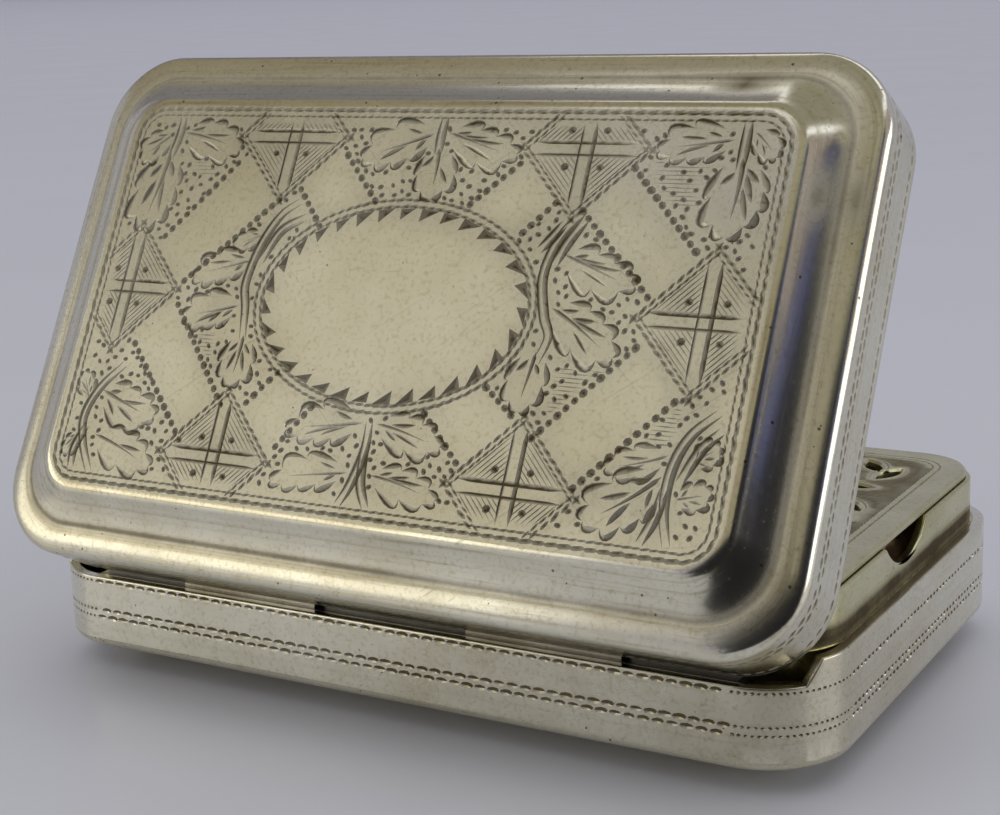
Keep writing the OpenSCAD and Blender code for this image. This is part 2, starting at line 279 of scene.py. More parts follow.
@dataclass(frozen=True)
class Metal(Look):
    """Worn precious metal: a mottled bloom, hairline scratches, small pits, dirt in the cuts and painted
    shade from the mesh.
    """

    name: str
    clean: Colour
    bloom: Colour
    tarnish: Colour
    dirt: Colour
    roughness: float
    tarnish_share: float = 0.5
    bloom_scale: float = 170.0
    wave_scale: float = 95.0
    fine_scale: float = 5200.0
    stain_scale: float = 75.0
    pit_scale: float = 1900.0
    streak_scale: Point = (110.0, 3800.0)
    scratch_height: float = 0.05
    wave_height: float = 0.8
    pit_share: float = 0.62
    dirt_metal: float = 0.3
    grain: float = 1.8

    def draw(self, w: Wiring) -> None:
        """Draws the tree."""
        place = w.node("ShaderNodeTexCoord", output="Object")
        bloom = w.noise(place, self.bloom_scale, 5.0, 0.62)
        wave = w.noise(place, self.wave_scale, 1.0)
        fine = w.noise(place, self.fine_scale, 3.0)
        stain = w.noise(place, self.stain_scale, 6.0, 0.7)
        rising, falling, level = (family.draw(w, place) for family in HAIRLINES)
        lines = rising.math("MAXIMUM", falling).math("MAXIMUM", level)
        cells = w.node("ShaderNodeTexVoronoi", {"Vector": place, "Scale": self.pit_scale}, "Distance")
        chance = w.node("ShaderNodeSeparateColor", {"Color": cells.out("Color")}, "Red")
        along = w.node("ShaderNodeSeparateXYZ", {0: w.attribute(FLOW, "Vector")}, "X")
        worn = along.out("Z")
        long, wide = self.streak_scale
        lane = w.node("ShaderNodeCombineXYZ", {"X": along * long, "Y": along.out("Y") * wide})
        streak = ((w.noise(lane, 1.0, 4.0) - 0.52) * 6.0).clamped() * worn
        ragged = cells + (fine - 0.5) * 0.12
        pit = ((chance - self.pit_share + worn * 0.35) * 0.2 - ragged).math("GREATER_THAN", 0.0)
        # The grime attribute brings dirt and painted shade; the cut attribute brings the soil of the cuts,
        # with painted shade on some punches' upper facets.
        crust, facet = w.attribute(GRIME_AND_SHADE), w.attribute(CUT)
        dirt = (crust * (bloom * 1.6 + 0.15)).math("MAXIMUM", facet * (0.6 + stain * 0.8)).clamped()
        metal = w.mix((bloom * 2.4 - 0.75).clamped(), self.clean, self.bloom)
        grain = (fine - 0.52).math("MAXIMUM", 0.0) * self.grain
        aged = ((stain * 3.2 - 1.75).clamped() * self.tarnish_share + streak * 0.7 + grain).clamped()
        toned = w.mix(aged, metal, self.tarnish)
        marked = w.mix((pit * 0.85 + lines * 0.14).clamped(), toned, self.dirt)
        rough = (self.roughness + bloom * 0.14 - 0.07 + dirt * 0.45 + streak * 0.1 + lines * 0.06).clamped()
        relief = wave * self.wave_height + fine * 0.05 - lines * self.scratch_height - pit * 0.1
        w.surface({"Base Color": w.mix(dirt, marked, self.dirt), "Roughness": rough,
                   "Metallic": 1.0 - dirt * (1.0 - self.dirt_metal), "Specular IOR Level": 0.2,
                   "Normal": w.bump(relief, 0.5, 0.000012)})


@dataclass(frozen=True)
class SpongeFibre(Look):
    """Dry natural sponge: tan fibre with stains, and pores painted darker as shade."""

    name: str = "sponge_fibre"
    tan: Colour = (0.42, 0.28, 0.13, 1.0)
    stain: Colour = (0.17, 0.10, 0.045, 1.0)
    stain_scale: float = 260.0
    fibre_scale: float = 4200.0

    def draw(self, w: Wiring) -> None:
        """Draws the tree."""
        place = w.node("ShaderNodeTexCoord", output="Object")
        stain = w.noise(place, self.stain_scale, 4.0)
        fibre = w.noise(place, self.fibre_scale, 3.0)
        # Painted shade in the pores comes in through the grime attribute.
        share = (w.attribute(GRIME_AND_SHADE) * 0.8 + stain * 1.3 - 0.5).clamped()
        w.surface({"Base Color": w.mix(share, self.tan, self.stain), "Roughness": 0.85 + fibre * 0.12,
                   "Normal": w.bump(fibre, 0.7, 0.00005)})


@dataclass(frozen=True)
class TableTop(Look):
    """Plain pale table with a soft gloss."""

    name: str = "table_top"
    pale: Colour = (0.585, 0.588, 0.60, 1.0)
    cloud: Colour = (0.55, 0.553, 0.565, 1.0)
    cloud_scale: float = 40.0

    def draw(self, w: Wiring) -> None:
        """Draws the tree."""
        cloud = w.noise(w.node("ShaderNodeTexCoord", output="Object"), self.cloud_scale, 3.0)
        w.surface({"Base Color": w.mix(cloud, self.pale, self.cloud), "Roughness": 0.3 + cloud * 0.1,
                   "IOR": 1.4})


@dataclass(frozen=True)
class CardPaper(Look):
    """Plain dull card of one colour."""

    name: str
    colour: Colour

    def draw(self, w: Wiring) -> None:
        """Draws the tree."""
        w.surface({"Base Color": self.colour, "Roughness": 0.9})


SILVER = Metal("worn_silver", (0.84, 0.82, 0.68, 1.0), (0.71, 0.67, 0.50, 1.0), (0.42, 0.36, 0.20, 1.0),
               (0.10, 0.074, 0.03, 1.0), 0.18)
# Darker, more tarnished copy of the silver for the hinge: painted shade for the hinge gap, with heavier
# tarnish.
SHADED_HINGE_SILVER = Metal("shaded_hinge_silver", (0.40, 0.39, 0.36, 1.0), (0.27, 0.25, 0.21, 1.0),
                     (0.19, 0.15, 0.09, 1.0), (0.04, 0.035, 0.025, 1.0), 0.3, tarnish_share=0.9)
GILT = Metal("worn_gilt", (0.73, 0.70, 0.42, 1.0), (0.50, 0.47, 0.26, 1.0), (0.32, 0.25, 0.12, 1.0),
             (0.065, 0.045, 0.02, 1.0), 0.2, tarnish_share=0.8)


# Outlines


@dataclass(frozen=True)
class RoundRect:
    """Rectangle with round corners, walked anticlockwise from the middle of its back side.

    A place on it is a station: its whole part counts the nine stretches, and the rest is the share
    of that stretch. One list of stations serves any such rectangle.
    """

    x: float
    y: float
    half_x: float
    half_y: float
    radius: float

    def walked(self) -> Array:
        """Distances walked to the start of each stretch and to the end of the last."""
        flat_x = self.half_x - self.radius
        flat_y = self.half_y - self.radius
        arc = self.radius * math.pi / 2
        lengths = [flat_x, arc, 2 * flat_y, arc, 2 * flat_x, arc, 2 * flat_y, arc, flat_x]
        return np.concatenate(([0.0], np.cumsum(lengths)))

    def run(self, stations: Array) -> Array:
        """Distance walked to each station."""
        walked = self.walked()
        return np.interp(stations, np.arange(len(walked)), walked)

    def station(self, run: Array) -> Array:
        """Station at each distance walked."""
        walked = self.walked()
        return np.interp(run, walked, np.arange(len(walked)))

    def ring(self, stations: Array, height: float | Array, inset: float | Array = 0.0) -> Array:
        """Points of the outline at a height."""
        return raised(self.at(stations, inset), height)

    def at(self, stations: Array, inset: float | Array = 0.0) -> Array:
        """Points of the outline.

        Args:
            stations: Places on it.
            inset: Distance inwards, for all or for each.

        Returns:
            One (x, y) row for each station.
        """
        a = self.half_x - self.radius
        b = self.half_y - self.radius
        signs = [(0, 1), (-1, 1), (-1, 1), (-1, -1), (-1, -1), (1, -1), (1, -1), (1, 1), (1, 1), (0, 1)]
        starts = np.array(signs) * (a, b)
        moves = np.diff(starts, axis=0)
        angles = np.array([1, 1, 2, 2, 3, 3, 4, 4, 5]) * math.pi / 2
        turns = np.array([0, 1, 0, 1, 0, 1, 0, 1, 0]) * math.pi / 2
        whole = np.minimum(stations.astype(int), len(moves) - 1)
        share = stations - whole
        angle = angles[whole] + turns[whole] * share
        reach = self.radius - np.broadcast_to(inset, stations.shape)
        outward = np.stack([np.cos(angle), np.sin(angle)], axis=1)
        return (np.array([self.x, self.y]) + starts[whole] + moves[whole] * share[:, None]
                + outward * reach[:, None])


CORNERS = (1, 3, 5, 7)
LEFT_SIDE, FRONT_SIDE, RIGHT_SIDE = 2, 4, 6
LAST_STATION = 9.0


def ring_stations(steps: int, extra: Iterable[float] = ()) -> Array:
    """Sorted stations of a whole ring, with some steps round each corner and further ones."""
    corners = [k + i / steps for k in CORNERS for i in range(steps + 1)]
    return np.array(sorted({0.0, *corners, *extra}))


def raised(flat: Array, height: float | Array) -> Array:
    """Flat points with a height added as their third coordinate."""
    return np.column_stack([flat, np.broadcast_to(height, len(flat))])


def left_of(line: Array) -> Array:
    """Unit vector to the left of a line at each of its points."""
    ahead = np.gradient(line, axis=0)
    return np.stack([-ahead[:, 1], ahead[:, 0]], axis=1) / np.linalg.norm(ahead, axis=1)[:, None]


def bell(values: Array, middle: float, width: float) -> Array:
    """Bell curve of height 1 round a middle."""
    return np.exp(-((values - middle) / width) ** 2)


def inside_polygon(places: Array, polygon: Array) -> Array:
    """Which places lie inside a polygon.

    Args:
        places: One (x, y) row for each place.
        polygon: One (x, y) row for each corner.

    Returns:
        One truth value for each place.
    """
    found = np.zeros(len(places), bool)
    for (x0, y0), (x1, y1) in zip(polygon, np.roll(polygon, -1, axis=0)):
        if y0 == y1:
            continue
        spans = (places[:, 1] > min(y0, y1)) & (places[:, 1] <= max(y0, y1))
        crossing = x0 + (places[:, 1] - y0) * (x1 - x0) / (y1 - y0)
        found ^= spans & (places[:, 0] < crossing)
    return found


def outside_all(places: Array, polygons: Iterable[Array]) -> Array:
    """Which places lie outside every polygon."""
    return ~np.any([inside_polygon(places, polygon) for polygon in polygons], axis=0)


def bend(start: Point, pull: Point, end: Point, steps: int) -> Array:
    """Curve from start to end, drawn towards a third point."""
    t = np.linspace(0, 1, steps + 1)[:, None]
    return (1 - t) ** 2 * np.array(start) + 2 * t * (1 - t) * np.array(pull) + t ** 2 * np.array(end)


def smooth_path(points: Path, steps: int) -> Array:
    """Smooth curve through all the points.

    Args:
        points: The points.
        steps: Steps from one to the next.

    Returns:
        One (x, y) row for each step.
    """
    p = np.array(points, float)
    p = np.vstack([2 * p[0] - p[1], p, 2 * p[-1] - p[-2]])
    t = np.linspace(0, 1, steps, endpoint=False)[:, None]
    parts = [0.5 * (2 * b + (c - a) * t + (2 * a - 5 * b + 4 * c - d) * t ** 2
                    + (3 * b - a - 3 * c + d) * t ** 3)
             for a, b, c, d in zip(p, p[1:], p[2:], p[3:])]
    return np.vstack([*parts, p[-2:-1]])


# Engraving


class Taper(Enum):
    """How the width of a cut runs along it."""

    BOTH = "pointed at both ends"
    CRESCENT = "full in the middle and drawn out thin both ways"
    ROOT = "cut in deep and drawn out thin"
    EVEN = "even, with short points"

    def widths(self, t: Array) -> Array:
        """Share of the full width at each share of the length.

        Args:
            t: Shares of the length.

        Returns:
            Shares of the width.
        """
        if self is Taper.BOTH:
            return np.sin(math.pi * t) ** 0.75
        if self is Taper.CRESCENT:
            return np.sin(math.pi * t) ** 1.4
        if self is Taper.ROOT:
            return np.minimum(1, t / 0.14) * (1 - t) ** 0.75
        return np.minimum(1, np.minimum(t, 1 - t) / 0.05)


class Sheet(NamedTuple):
    """A flat sheet after its cuts: places, depths, triangles, and the soil on each cut triangle."""

    places: Array
    depths: Array
    triangles: list[tuple[int, ...]]
    soil: Array


class CutField:
    """Cuts on a flat sheet, each a strip or fan of triangles with a depth at every corner."""

    CELL = 0.4
    SLACK = 1e-6
    EDGE_SLACK = 1e-4
    LEAST_AREA = 1e-12
    LEAST_SOIL = 0.02

    def __init__(self) -> None:
        """Starts with no cuts."""
        self.places: list[Array] = []
        self.depths: list[Array] = []
        self.triangles: list[Array] = []
        self.soil: list[Array] = []
        self.count = 0

    def add(self, places: Array, depths: Array, triangles: Array, soil: float | Array) -> None:
        """Adds cuts as triangles.

        Args:
            places: One (x, y) row for each corner.
            depths: Depth at each corner.
            triangles: Corners of each triangle.
            soil: Dirt left on all or on each triangle, with painted shade on some punches' upper facets.
        """
        self.places.append(np.asarray(places, float))
        self.depths.append(np.asarray(depths, float))
        self.triangles.append(np.asarray(triangles, int) + self.count)
        self.soil.append(np.broadcast_to(soil, len(triangles)).astype(float))
        self.count += len(places)

    def stroke(self, path: Array | Path, width: float, taper: Taper = Taper.BOTH, lean: float = 0.0,
               steepness: float = 0.34, soil: float = 0.4) -> None:
        """Adds a V-shaped cut along a path.

        Args:
            path: Points of its middle line.
            width: Its full width.
            taper: How the width runs.
            lean: Place of the deepest line, from -1 at the right edge to 1 at the left.
            steepness: Depth as a share of the width.
            soil: Dirt left in it.
        """
        line = np.asarray(path, float)
        along = np.concatenate(([0.0], np.cumsum(np.linalg.norm(np.diff(line, axis=0), axis=1))))
        wide = width * taper.widths(along / along[-1])
        left = left_of(line) * wide[:, None] / 2
        n = len(line)
        rows = np.arange(n - 1)
        strip = [np.stack([a * n + rows + da, b * n + rows + db, c * n + rows], axis=1)
                 for a, da, b, db, c in ((0, 0, 0, 1, 1), (1, 0, 1, 1, 2), (0, 1, 1, 1, 1), (1, 1, 2, 1, 2))]
        self.add(np.vstack([line + left, line + left * lean, line - left]),
                 np.concatenate([np.zeros(n), wide * steepness, np.zeros(n)]), np.vstack(strip), soil)

    def depth_at(self, places: Array) -> Array:
        """Depth of the deepest cut at each place, 0 where there is none."""
        return self.find(places)[0]

    def find(self, places: Array) -> tuple[Array, Array]:
        """Finds the deepest cut at each place.

        Args:
            places: One (x, y) row for each place.

        Returns:
            Its depth and its soil, both 0 where there is no cut.
        """
        found = np.zeros((2, len(places)))
        if not self.count:
            return found[0], found[1]
        corners = np.vstack(self.places)[np.vstack(self.triangles)]
        depths = np.concatenate(self.depths)[np.vstack(self.triangles)]
        soil = np.concatenate(self.soil)
        cells: dict[tuple[int, int], list[int]] = {}
        low = np.floor(corners.min(axis=1) / self.CELL - self.SLACK).astype(int)
        high = np.floor(corners.max(axis=1) / self.CELL + self.SLACK).astype(int)
        for i, ((x0, y0), (x1, y1)) in enumerate(zip(low.tolist(), high.tolist())):
            for x in range(x0, x1 + 1):
                for y in range(y0, y1 + 1):
                    cells.setdefault((x, y), []).append(i)
        homes: dict[tuple[int, int], list[int]] = {}
        for i, home in enumerate(map(tuple, np.floor(places / self.CELL).astype(int).tolist())):
            homes.setdefault(home, []).append(i)
        for home, members in homes.items():
            if home in cells:
                picked = np.array(cells[home])
                deep, which = self._deepest(places[members], corners[picked], depths[picked])
                found[:, members] = deep, np.where(deep > 0, soil[picked[which]], 0.0)
        return found[0], found[1]

    def _deepest(self, places: Array, corners: Array, depths: Array) -> tuple[Array, Array]:
        """Greatest depth that any of the triangles has at each place.

        Args:
            places: One (x, y) row for each place.
            corners: Three such rows for each triangle.
            depths: Depths at those corners.

        Returns:
            The depths, and which triangle has each.
        """
        a, b, c = corners[:, 0], corners[:, 1], corners[:, 2]
        ab, ac = b - a, c - a
        area = ab[:, 0] * ac[:, 1] - ab[:, 1] * ac[:, 0]
        flat = np.abs(area) < self.LEAST_AREA
        safe = np.where(flat, 1.0, area)
        ap = places[:, None, :] - a[None]
        v = (ap[..., 0] * ac[:, 1] - ap[..., 1] * ac[:, 0]) / safe
        w = (ab[:, 0] * ap[..., 1] - ab[:, 1] * ap[..., 0]) / safe
        u = 1 - v - w
        within = (np.minimum(np.minimum(u, v), w) > -self.EDGE_SLACK) & ~flat
        depth = np.where(within, u * depths[:, 0] + v * depths[:, 1] + w * depths[:, 2], 0.0)
        return depth.max(axis=1), depth.argmax(axis=1)

    def sheet(self, loops: Sequence[Array], lines: Sequence[Array] = (),
              keep: Callable[[Array], Array] | None = None, spots: Sequence[Array] = ()) -> Sheet:
        """Cuts the sheet into triangles that follow every cut.

        Args:
            loops: Closed outlines of the sheet and its holes.
            lines: Open lines that the triangles follow too.
            keep: Which triangles stay, from their middles.
            spots: Further corners of triangles.

        Returns:
            The sheet.
        """
        places = [p for path in (*loops, *lines) for p in path]
        edges: set[tuple[int, int]] = set()
        first = 0
        for i, path in enumerate((*loops, *lines)):
            n = len(path)
            edges |= {(first + k, first + (k + 1) % n) for k in range(n if i < len(loops) else n - 1)}
            first += n
        if self.count:
            places += [p for part in self.places for p in part]
            for triangle in (np.vstack(self.triangles) + first).tolist():
                edges |= {tuple(sorted((triangle[i], triangle[i - 1]))) for i in range(3)}
        places += list(spots)
        made = delaunay_2d_cdt([Vector(p) for p in places], list(edges), [], 0, CDT_STEP, False)
        found = np.array([tuple(v) for v in made[0]])
        triangles = np.array([tuple(f) for f in made[2]])
        if keep is not None:
            triangles = triangles[keep(found[triangles].mean(axis=1))]
        depths = self.depth_at(found)
        cut = (depths[triangles] > CDT_STEP).any(axis=1)
        soil = np.zeros(len(triangles))
        soil[cut] = np.maximum(self.find(found[triangles[cut]].mean(axis=1))[1], self.LEAST_SOIL)
        return Sheet(found, depths, list(map(tuple, triangles.tolist())), soil)


def level_lines(cuts: CutField, low: Point, high: Point, taken: Sequence[Array], step: float,
                width: float, soil: float = 0.5, within: Array | None = None) -> None:
    """Cuts fine level lines over the free ground of a patch.

    Args:
        cuts: Where they go.
        low: Lowest corner of the patch.
        high: Highest corner of the patch.
        taken: Outlines that stay clear.
        step: Distance between lines.
        width: Width of a line.
        soil: Dirt left in it.
        within: Outline that they stay in.
    """
    x = np.arange(low[0], high[0], LINE_STEP)
    y = np.arange(low[1], high[1], step)
    places = np.stack(np.meshgrid(x, y), axis=-1)
    flat = places.reshape(-1, 2)
    free = cuts.depth_at(flat) == 0
    if within is not None:
        free &= inside_polygon(flat, within)
    free &= outside_all(flat, taken)
    for row, clear in zip(places, free.reshape(len(y), len(x))):
        change = np.diff(np.concatenate(([0], clear, [0])))
        for i, j in zip(np.flatnonzero(change == 1), np.flatnonzero(change == -1)):
            if j - i > LEAST_LINE:
                cuts.stroke(row[[i + 1, (i + j) // 2, j - 2]], width, Taper.EVEN, soil=soil)


def new_tree(name: str, inputs: dict[str, Sequence[str]]) -> tuple[Wiring, Wire]:
    """Makes a geometry tree that starts from a mesh and has a finish.

    Args:
        name: Its name.
        inputs: Names of its other inputs, by the kind of their sockets.

    Returns:
        Its wiring and its group input.
    """
    tree = bpy.data.node_groups.new(name, "GeometryNodeTree")
    for kind, names in {"Geometry": ("Start",), **inputs, "Material": ("Finish",)}.items():
        for each in names:
            tree.interface.new_socket(each, in_out="INPUT", socket_type=f"NodeSocket{kind}")
    tree.interface.new_socket("Made", in_out="OUTPUT", socket_type="NodeSocketGeometry")
    wiring = Wiring(tree)
    return wiring, wiring.node("NodeGroupInput")


def end_tree(wiring: Wiring, given: Wire, made: Wire) -> Tree:
    """Ends a geometry tree with real geometry in its finish.

    Args:
        wiring: The tree's wiring.
        given: Its group input.
        made: What it makes.

    Returns:
        The tree.
    """
    real = wiring.node("GeometryNodeRealizeInstances", {"Geometry": made})
    dressed = wiring.node("GeometryNodeSetMaterial", {"Geometry": real, "Material": given.out("Finish")})
    wiring.node("NodeGroupOutput", {0: dressed})
    return wiring.tree


PUNCH_SIZES = (0.88, 1.12)


@cache
def punch_tree() -> Tree:
    """Geometry tree that strikes one punch at even steps along the lines of a mesh, or at its points."""
    w, given = new_tree("punch_row", {
        "Float": ("Pitch", "Length", "Width", "Depth", "Heel", "Turn", "Lean", "Sway"),
        "Int": ("Corners", "Seed"), "Bool": ("Scattered",)})
    sway, seed = given.out("Sway"), given.out("Seed")
    ring = w.node("GeometryNodeMeshCircle", {"Vertices": given.out("Corners"), "Radius": 1.0},
                  fill_type="TRIANGLE_FAN")
    here = w.node("GeometryNodeInputPosition")
    middle = w.node("ShaderNodeVectorMath", {0: here}, "Value", operation="LENGTH")
    drop = w.node("ShaderNodeCombineXYZ", {"Y": given.out("Heel"), "Z": given.out("Depth") * -1.0})
    sunk = w.node("GeometryNodeSetPosition", {
        "Geometry": ring, "Selection": middle.math("LESS_THAN", 0.5), "Offset": drop})
    size = w.node("ShaderNodeCombineXYZ", {
        "X": given.out("Length") * 0.5, "Y": given.out("Width") * 0.5, "Z": 1.0})
    sized = w.node("GeometryNodeTransform", {"Geometry": sunk, "Scale": size})
    ahead = w.node("ShaderNodeSeparateXYZ", {0: here}, "X")
    shear = w.node("ShaderNodeCombineXYZ", {"Y": ahead * given.out("Lean")})
    leant = w.node("GeometryNodeSetPosition", {"Geometry": sized, "Offset": shear})
    curve = w.node("GeometryNodeMeshToCurve", {"Mesh": given})
    stepped = w.node("GeometryNodeResampleCurve", {"Curve": curve, "Length": given.out("Pitch")},
                     mode="LENGTH")
    spots = w.node("GeometryNodeSwitch", {"Switch": given.out("Scattered"), "False": stepped, "True": given},
                   input_type="GEOMETRY")
    facing_on = w.node("FunctionNodeAlignRotationToVector", {"Vector": w.node("GeometryNodeInputTangent")},
                       axis="X", pivot_axis="Z")
    chance = w.node("FunctionNodeRandomValue", {2: sway * -1.0, 3: sway, "Seed": seed}, 1, data_type="FLOAT")
    angle = w.node("ShaderNodeCombineXYZ", {"Z": given.out("Turn") + chance})
    turn = w.node("FunctionNodeEulerToRotation", {0: angle})
    turned = w.node("FunctionNodeRotateRotation", {"Rotation": facing_on, "Rotate By": turn},
                    rotation_space="LOCAL")
    scale = w.node("FunctionNodeRandomValue", {2: PUNCH_SIZES[0], 3: PUNCH_SIZES[1], "Seed": seed + 7.0}, 1,
                   data_type="FLOAT")
    return end_tree(w, given, w.node("GeometryNodeInstanceOnPoints", {
        "Points": spots, "Instance": leant, "Rotation": turned, "Scale": scale}))


def linked(name: str, data: bpy.types.ID) -> bpy.types.Object:
    """A new object in the scene."""
    made = bpy.data.objects.new(name, data)
    bpy.context.scene.collection.objects.link(made)
    return made


def apply_tree(name: str, mesh: Mesh, tree: Tree, values: dict[str, Any]) -> Mesh:
    """Runs a geometry tree on a mesh and keeps the plain result.

    Args:
        name: Name of the new mesh.
        mesh: What the tree starts from.
        tree: The tree.
        values: Its inputs, by name.

    Returns:
        The new mesh.
    """
    carrier = linked(name, mesh)
    modifier = carrier.modifiers.new(name, "NODES")
    modifier.node_group = tree
    for item in tree.interface.items_tree:
        if item.in_out == "INPUT" and item.name in values:
            modifier[item.identifier] = values[item.name]
    graph = bpy.context.evaluated_depsgraph_get()
    made = bpy.data.meshes.new_from_object(carrier.evaluated_get(graph))
    carrier.modifiers.remove(modifier)
    bpy.data.objects.remove(carrier)
    bpy.data.meshes.remove(mesh)
    made.name = name
    return made


@dataclass(frozen=True)
class Punch:
    """A punch or short graver cut, and how it is struck along a line.

    Its turn and sway are in degrees. Its heel is the place of its deepest point across it, from -1 at the
    right edge to 1 at the left, and its lip is the share of the soil that stays on its lower facets. A lip
    below 1 leaves the upper facets darker than the lower ones, painted shade on the facets that face down.
    """

    corners: int
    length: float
    width: float
    depth: float
    pitch: float
    turn: float = 0.0
    lean: float = 0.0
    sway: float = 0.0
    heel: float = 0.0
    soil: float = 0.6
    lip: float = 1.0
    seed: int = 1

    def strike(self, cuts: CutField, paths: Sequence[Path | Array], closed: bool = False) -> None:
        """Adds a row of cuts along each path, or one cut at each where every path is one point.

        Args:
            cuts: Where they go.
            paths: Lines of (x, y) points.
            closed: Whether each line joins its own start.
        """
        points: list[Triple] = []
        edges: list[tuple[int, int]] = []
        for path in paths:
            first = len(points)
            points += [(x, y, 0.0) for x, y in path]
            edges += [(i, i + 1) for i in range(first, len(points) - 1)]
            if closed:
                edges.append((len(points) - 1, first))
        if not points:
            return
        mesh = bpy.data.meshes.new("row")
        mesh.from_pydata(points, edges, [])
        values = {name.capitalize(): value for name, value in vars(self).items()}
        values |= {"Turn": math.radians(self.turn), "Sway": math.radians(self.sway), "Scattered": not edges}
        made = apply_tree("row", mesh, punch_tree(), values)
        flat = np.zeros(len(made.vertices) * 3)
        made.vertices.foreach_get("co", flat)
        flat = flat.reshape(-1, 3)
        triangles = np.array([tuple(p.vertices) for p in made.polygons])
        across = flat[triangles, 1]
        heel = np.take_along_axis(across, flat[triangles, 2].argmin(axis=1)[:, None], axis=1)[:, 0]
        # Facets below the deepest point keep only the lip's share of the soil, so the facets above are
        # painted darker as shade.
        soil = np.where(across.mean(axis=1) < heel, self.soil * self.lip, self.soil)
        cuts.add(flat[:, :2], -flat[:, 2], triangles, soil)
        bpy.data.meshes.remove(made)

    def scatter(self, cuts: CutField, spots: Sequence[Array]) -> None:
        """Adds one cut at each spot."""
        self.strike(cuts, [[spot] for spot in spots])


ROPE = Punch(6, 0.72, 0.22, 0.08, 0.55, turn=6, sway=3, heel=0.3, seed=3)
FINE_ROPE = Punch(6, 0.46, 0.12, 0.05, 0.37, turn=7, sway=5, soil=0.55, seed=5)
OVAL_ROPE = Punch(6, 0.52, 0.17, 0.065, 0.42, turn=10, sway=5, seed=7)
BEAD = Punch(7, 0.38, 0.33, 0.12, 0.42, sway=25, heel=-0.2, soil=0.72, seed=11)
SPECK = Punch(7, 0.29, 0.21, 0.09, 1.0, sway=70, soil=0.68, seed=13)
TOOTH = Punch(3, 0.70, 0.94, 0.13, 1.07, turn=90, lean=-0.8, sway=4, soil=0.8, seed=17)
# The wall punches keep little soil on their lower facets: painted shade on their upper facets.
NICK = Punch(8, 0.57, 0.25, 0.055, 0.60, turn=3, sway=4, heel=-0.3, soil=0.9, lip=0.0, seed=23)
TICK = Punch(7, 0.17, 0.15, 0.06, 0.25, turn=12, sway=10, heel=-0.2, soil=0.9, lip=0.3, seed=31)
SIDE_TICK = Punch(7, 0.32, 0.21, 0.06, 0.42, turn=12, sway=8, heel=-0.3, soil=0.9, lip=0.0, seed=37)
SMALL_NICK = Punch(8, 0.44, 0.22, 0.085, 0.50, sway=6, heel=0.3, soil=0.62, seed=29)


# Solids


def weld(work: bmesh.types.BMesh) -> None:
    """Welds points that meet and turns the faces outwards."""
    bmesh.ops.remove_doubles(work, verts=work.verts, dist=WELD)
    bmesh.ops.recalc_face_normals(work, faces=work.faces)


def lifted(height: float, flip: bool = False) -> Matrix:
    """Place of a shell at a height, upside down or not."""
    return Matrix.Translation((0, 0, height * MM)) @ Matrix.Scale(-1 if flip else 1, 4, (0, 0, 1))


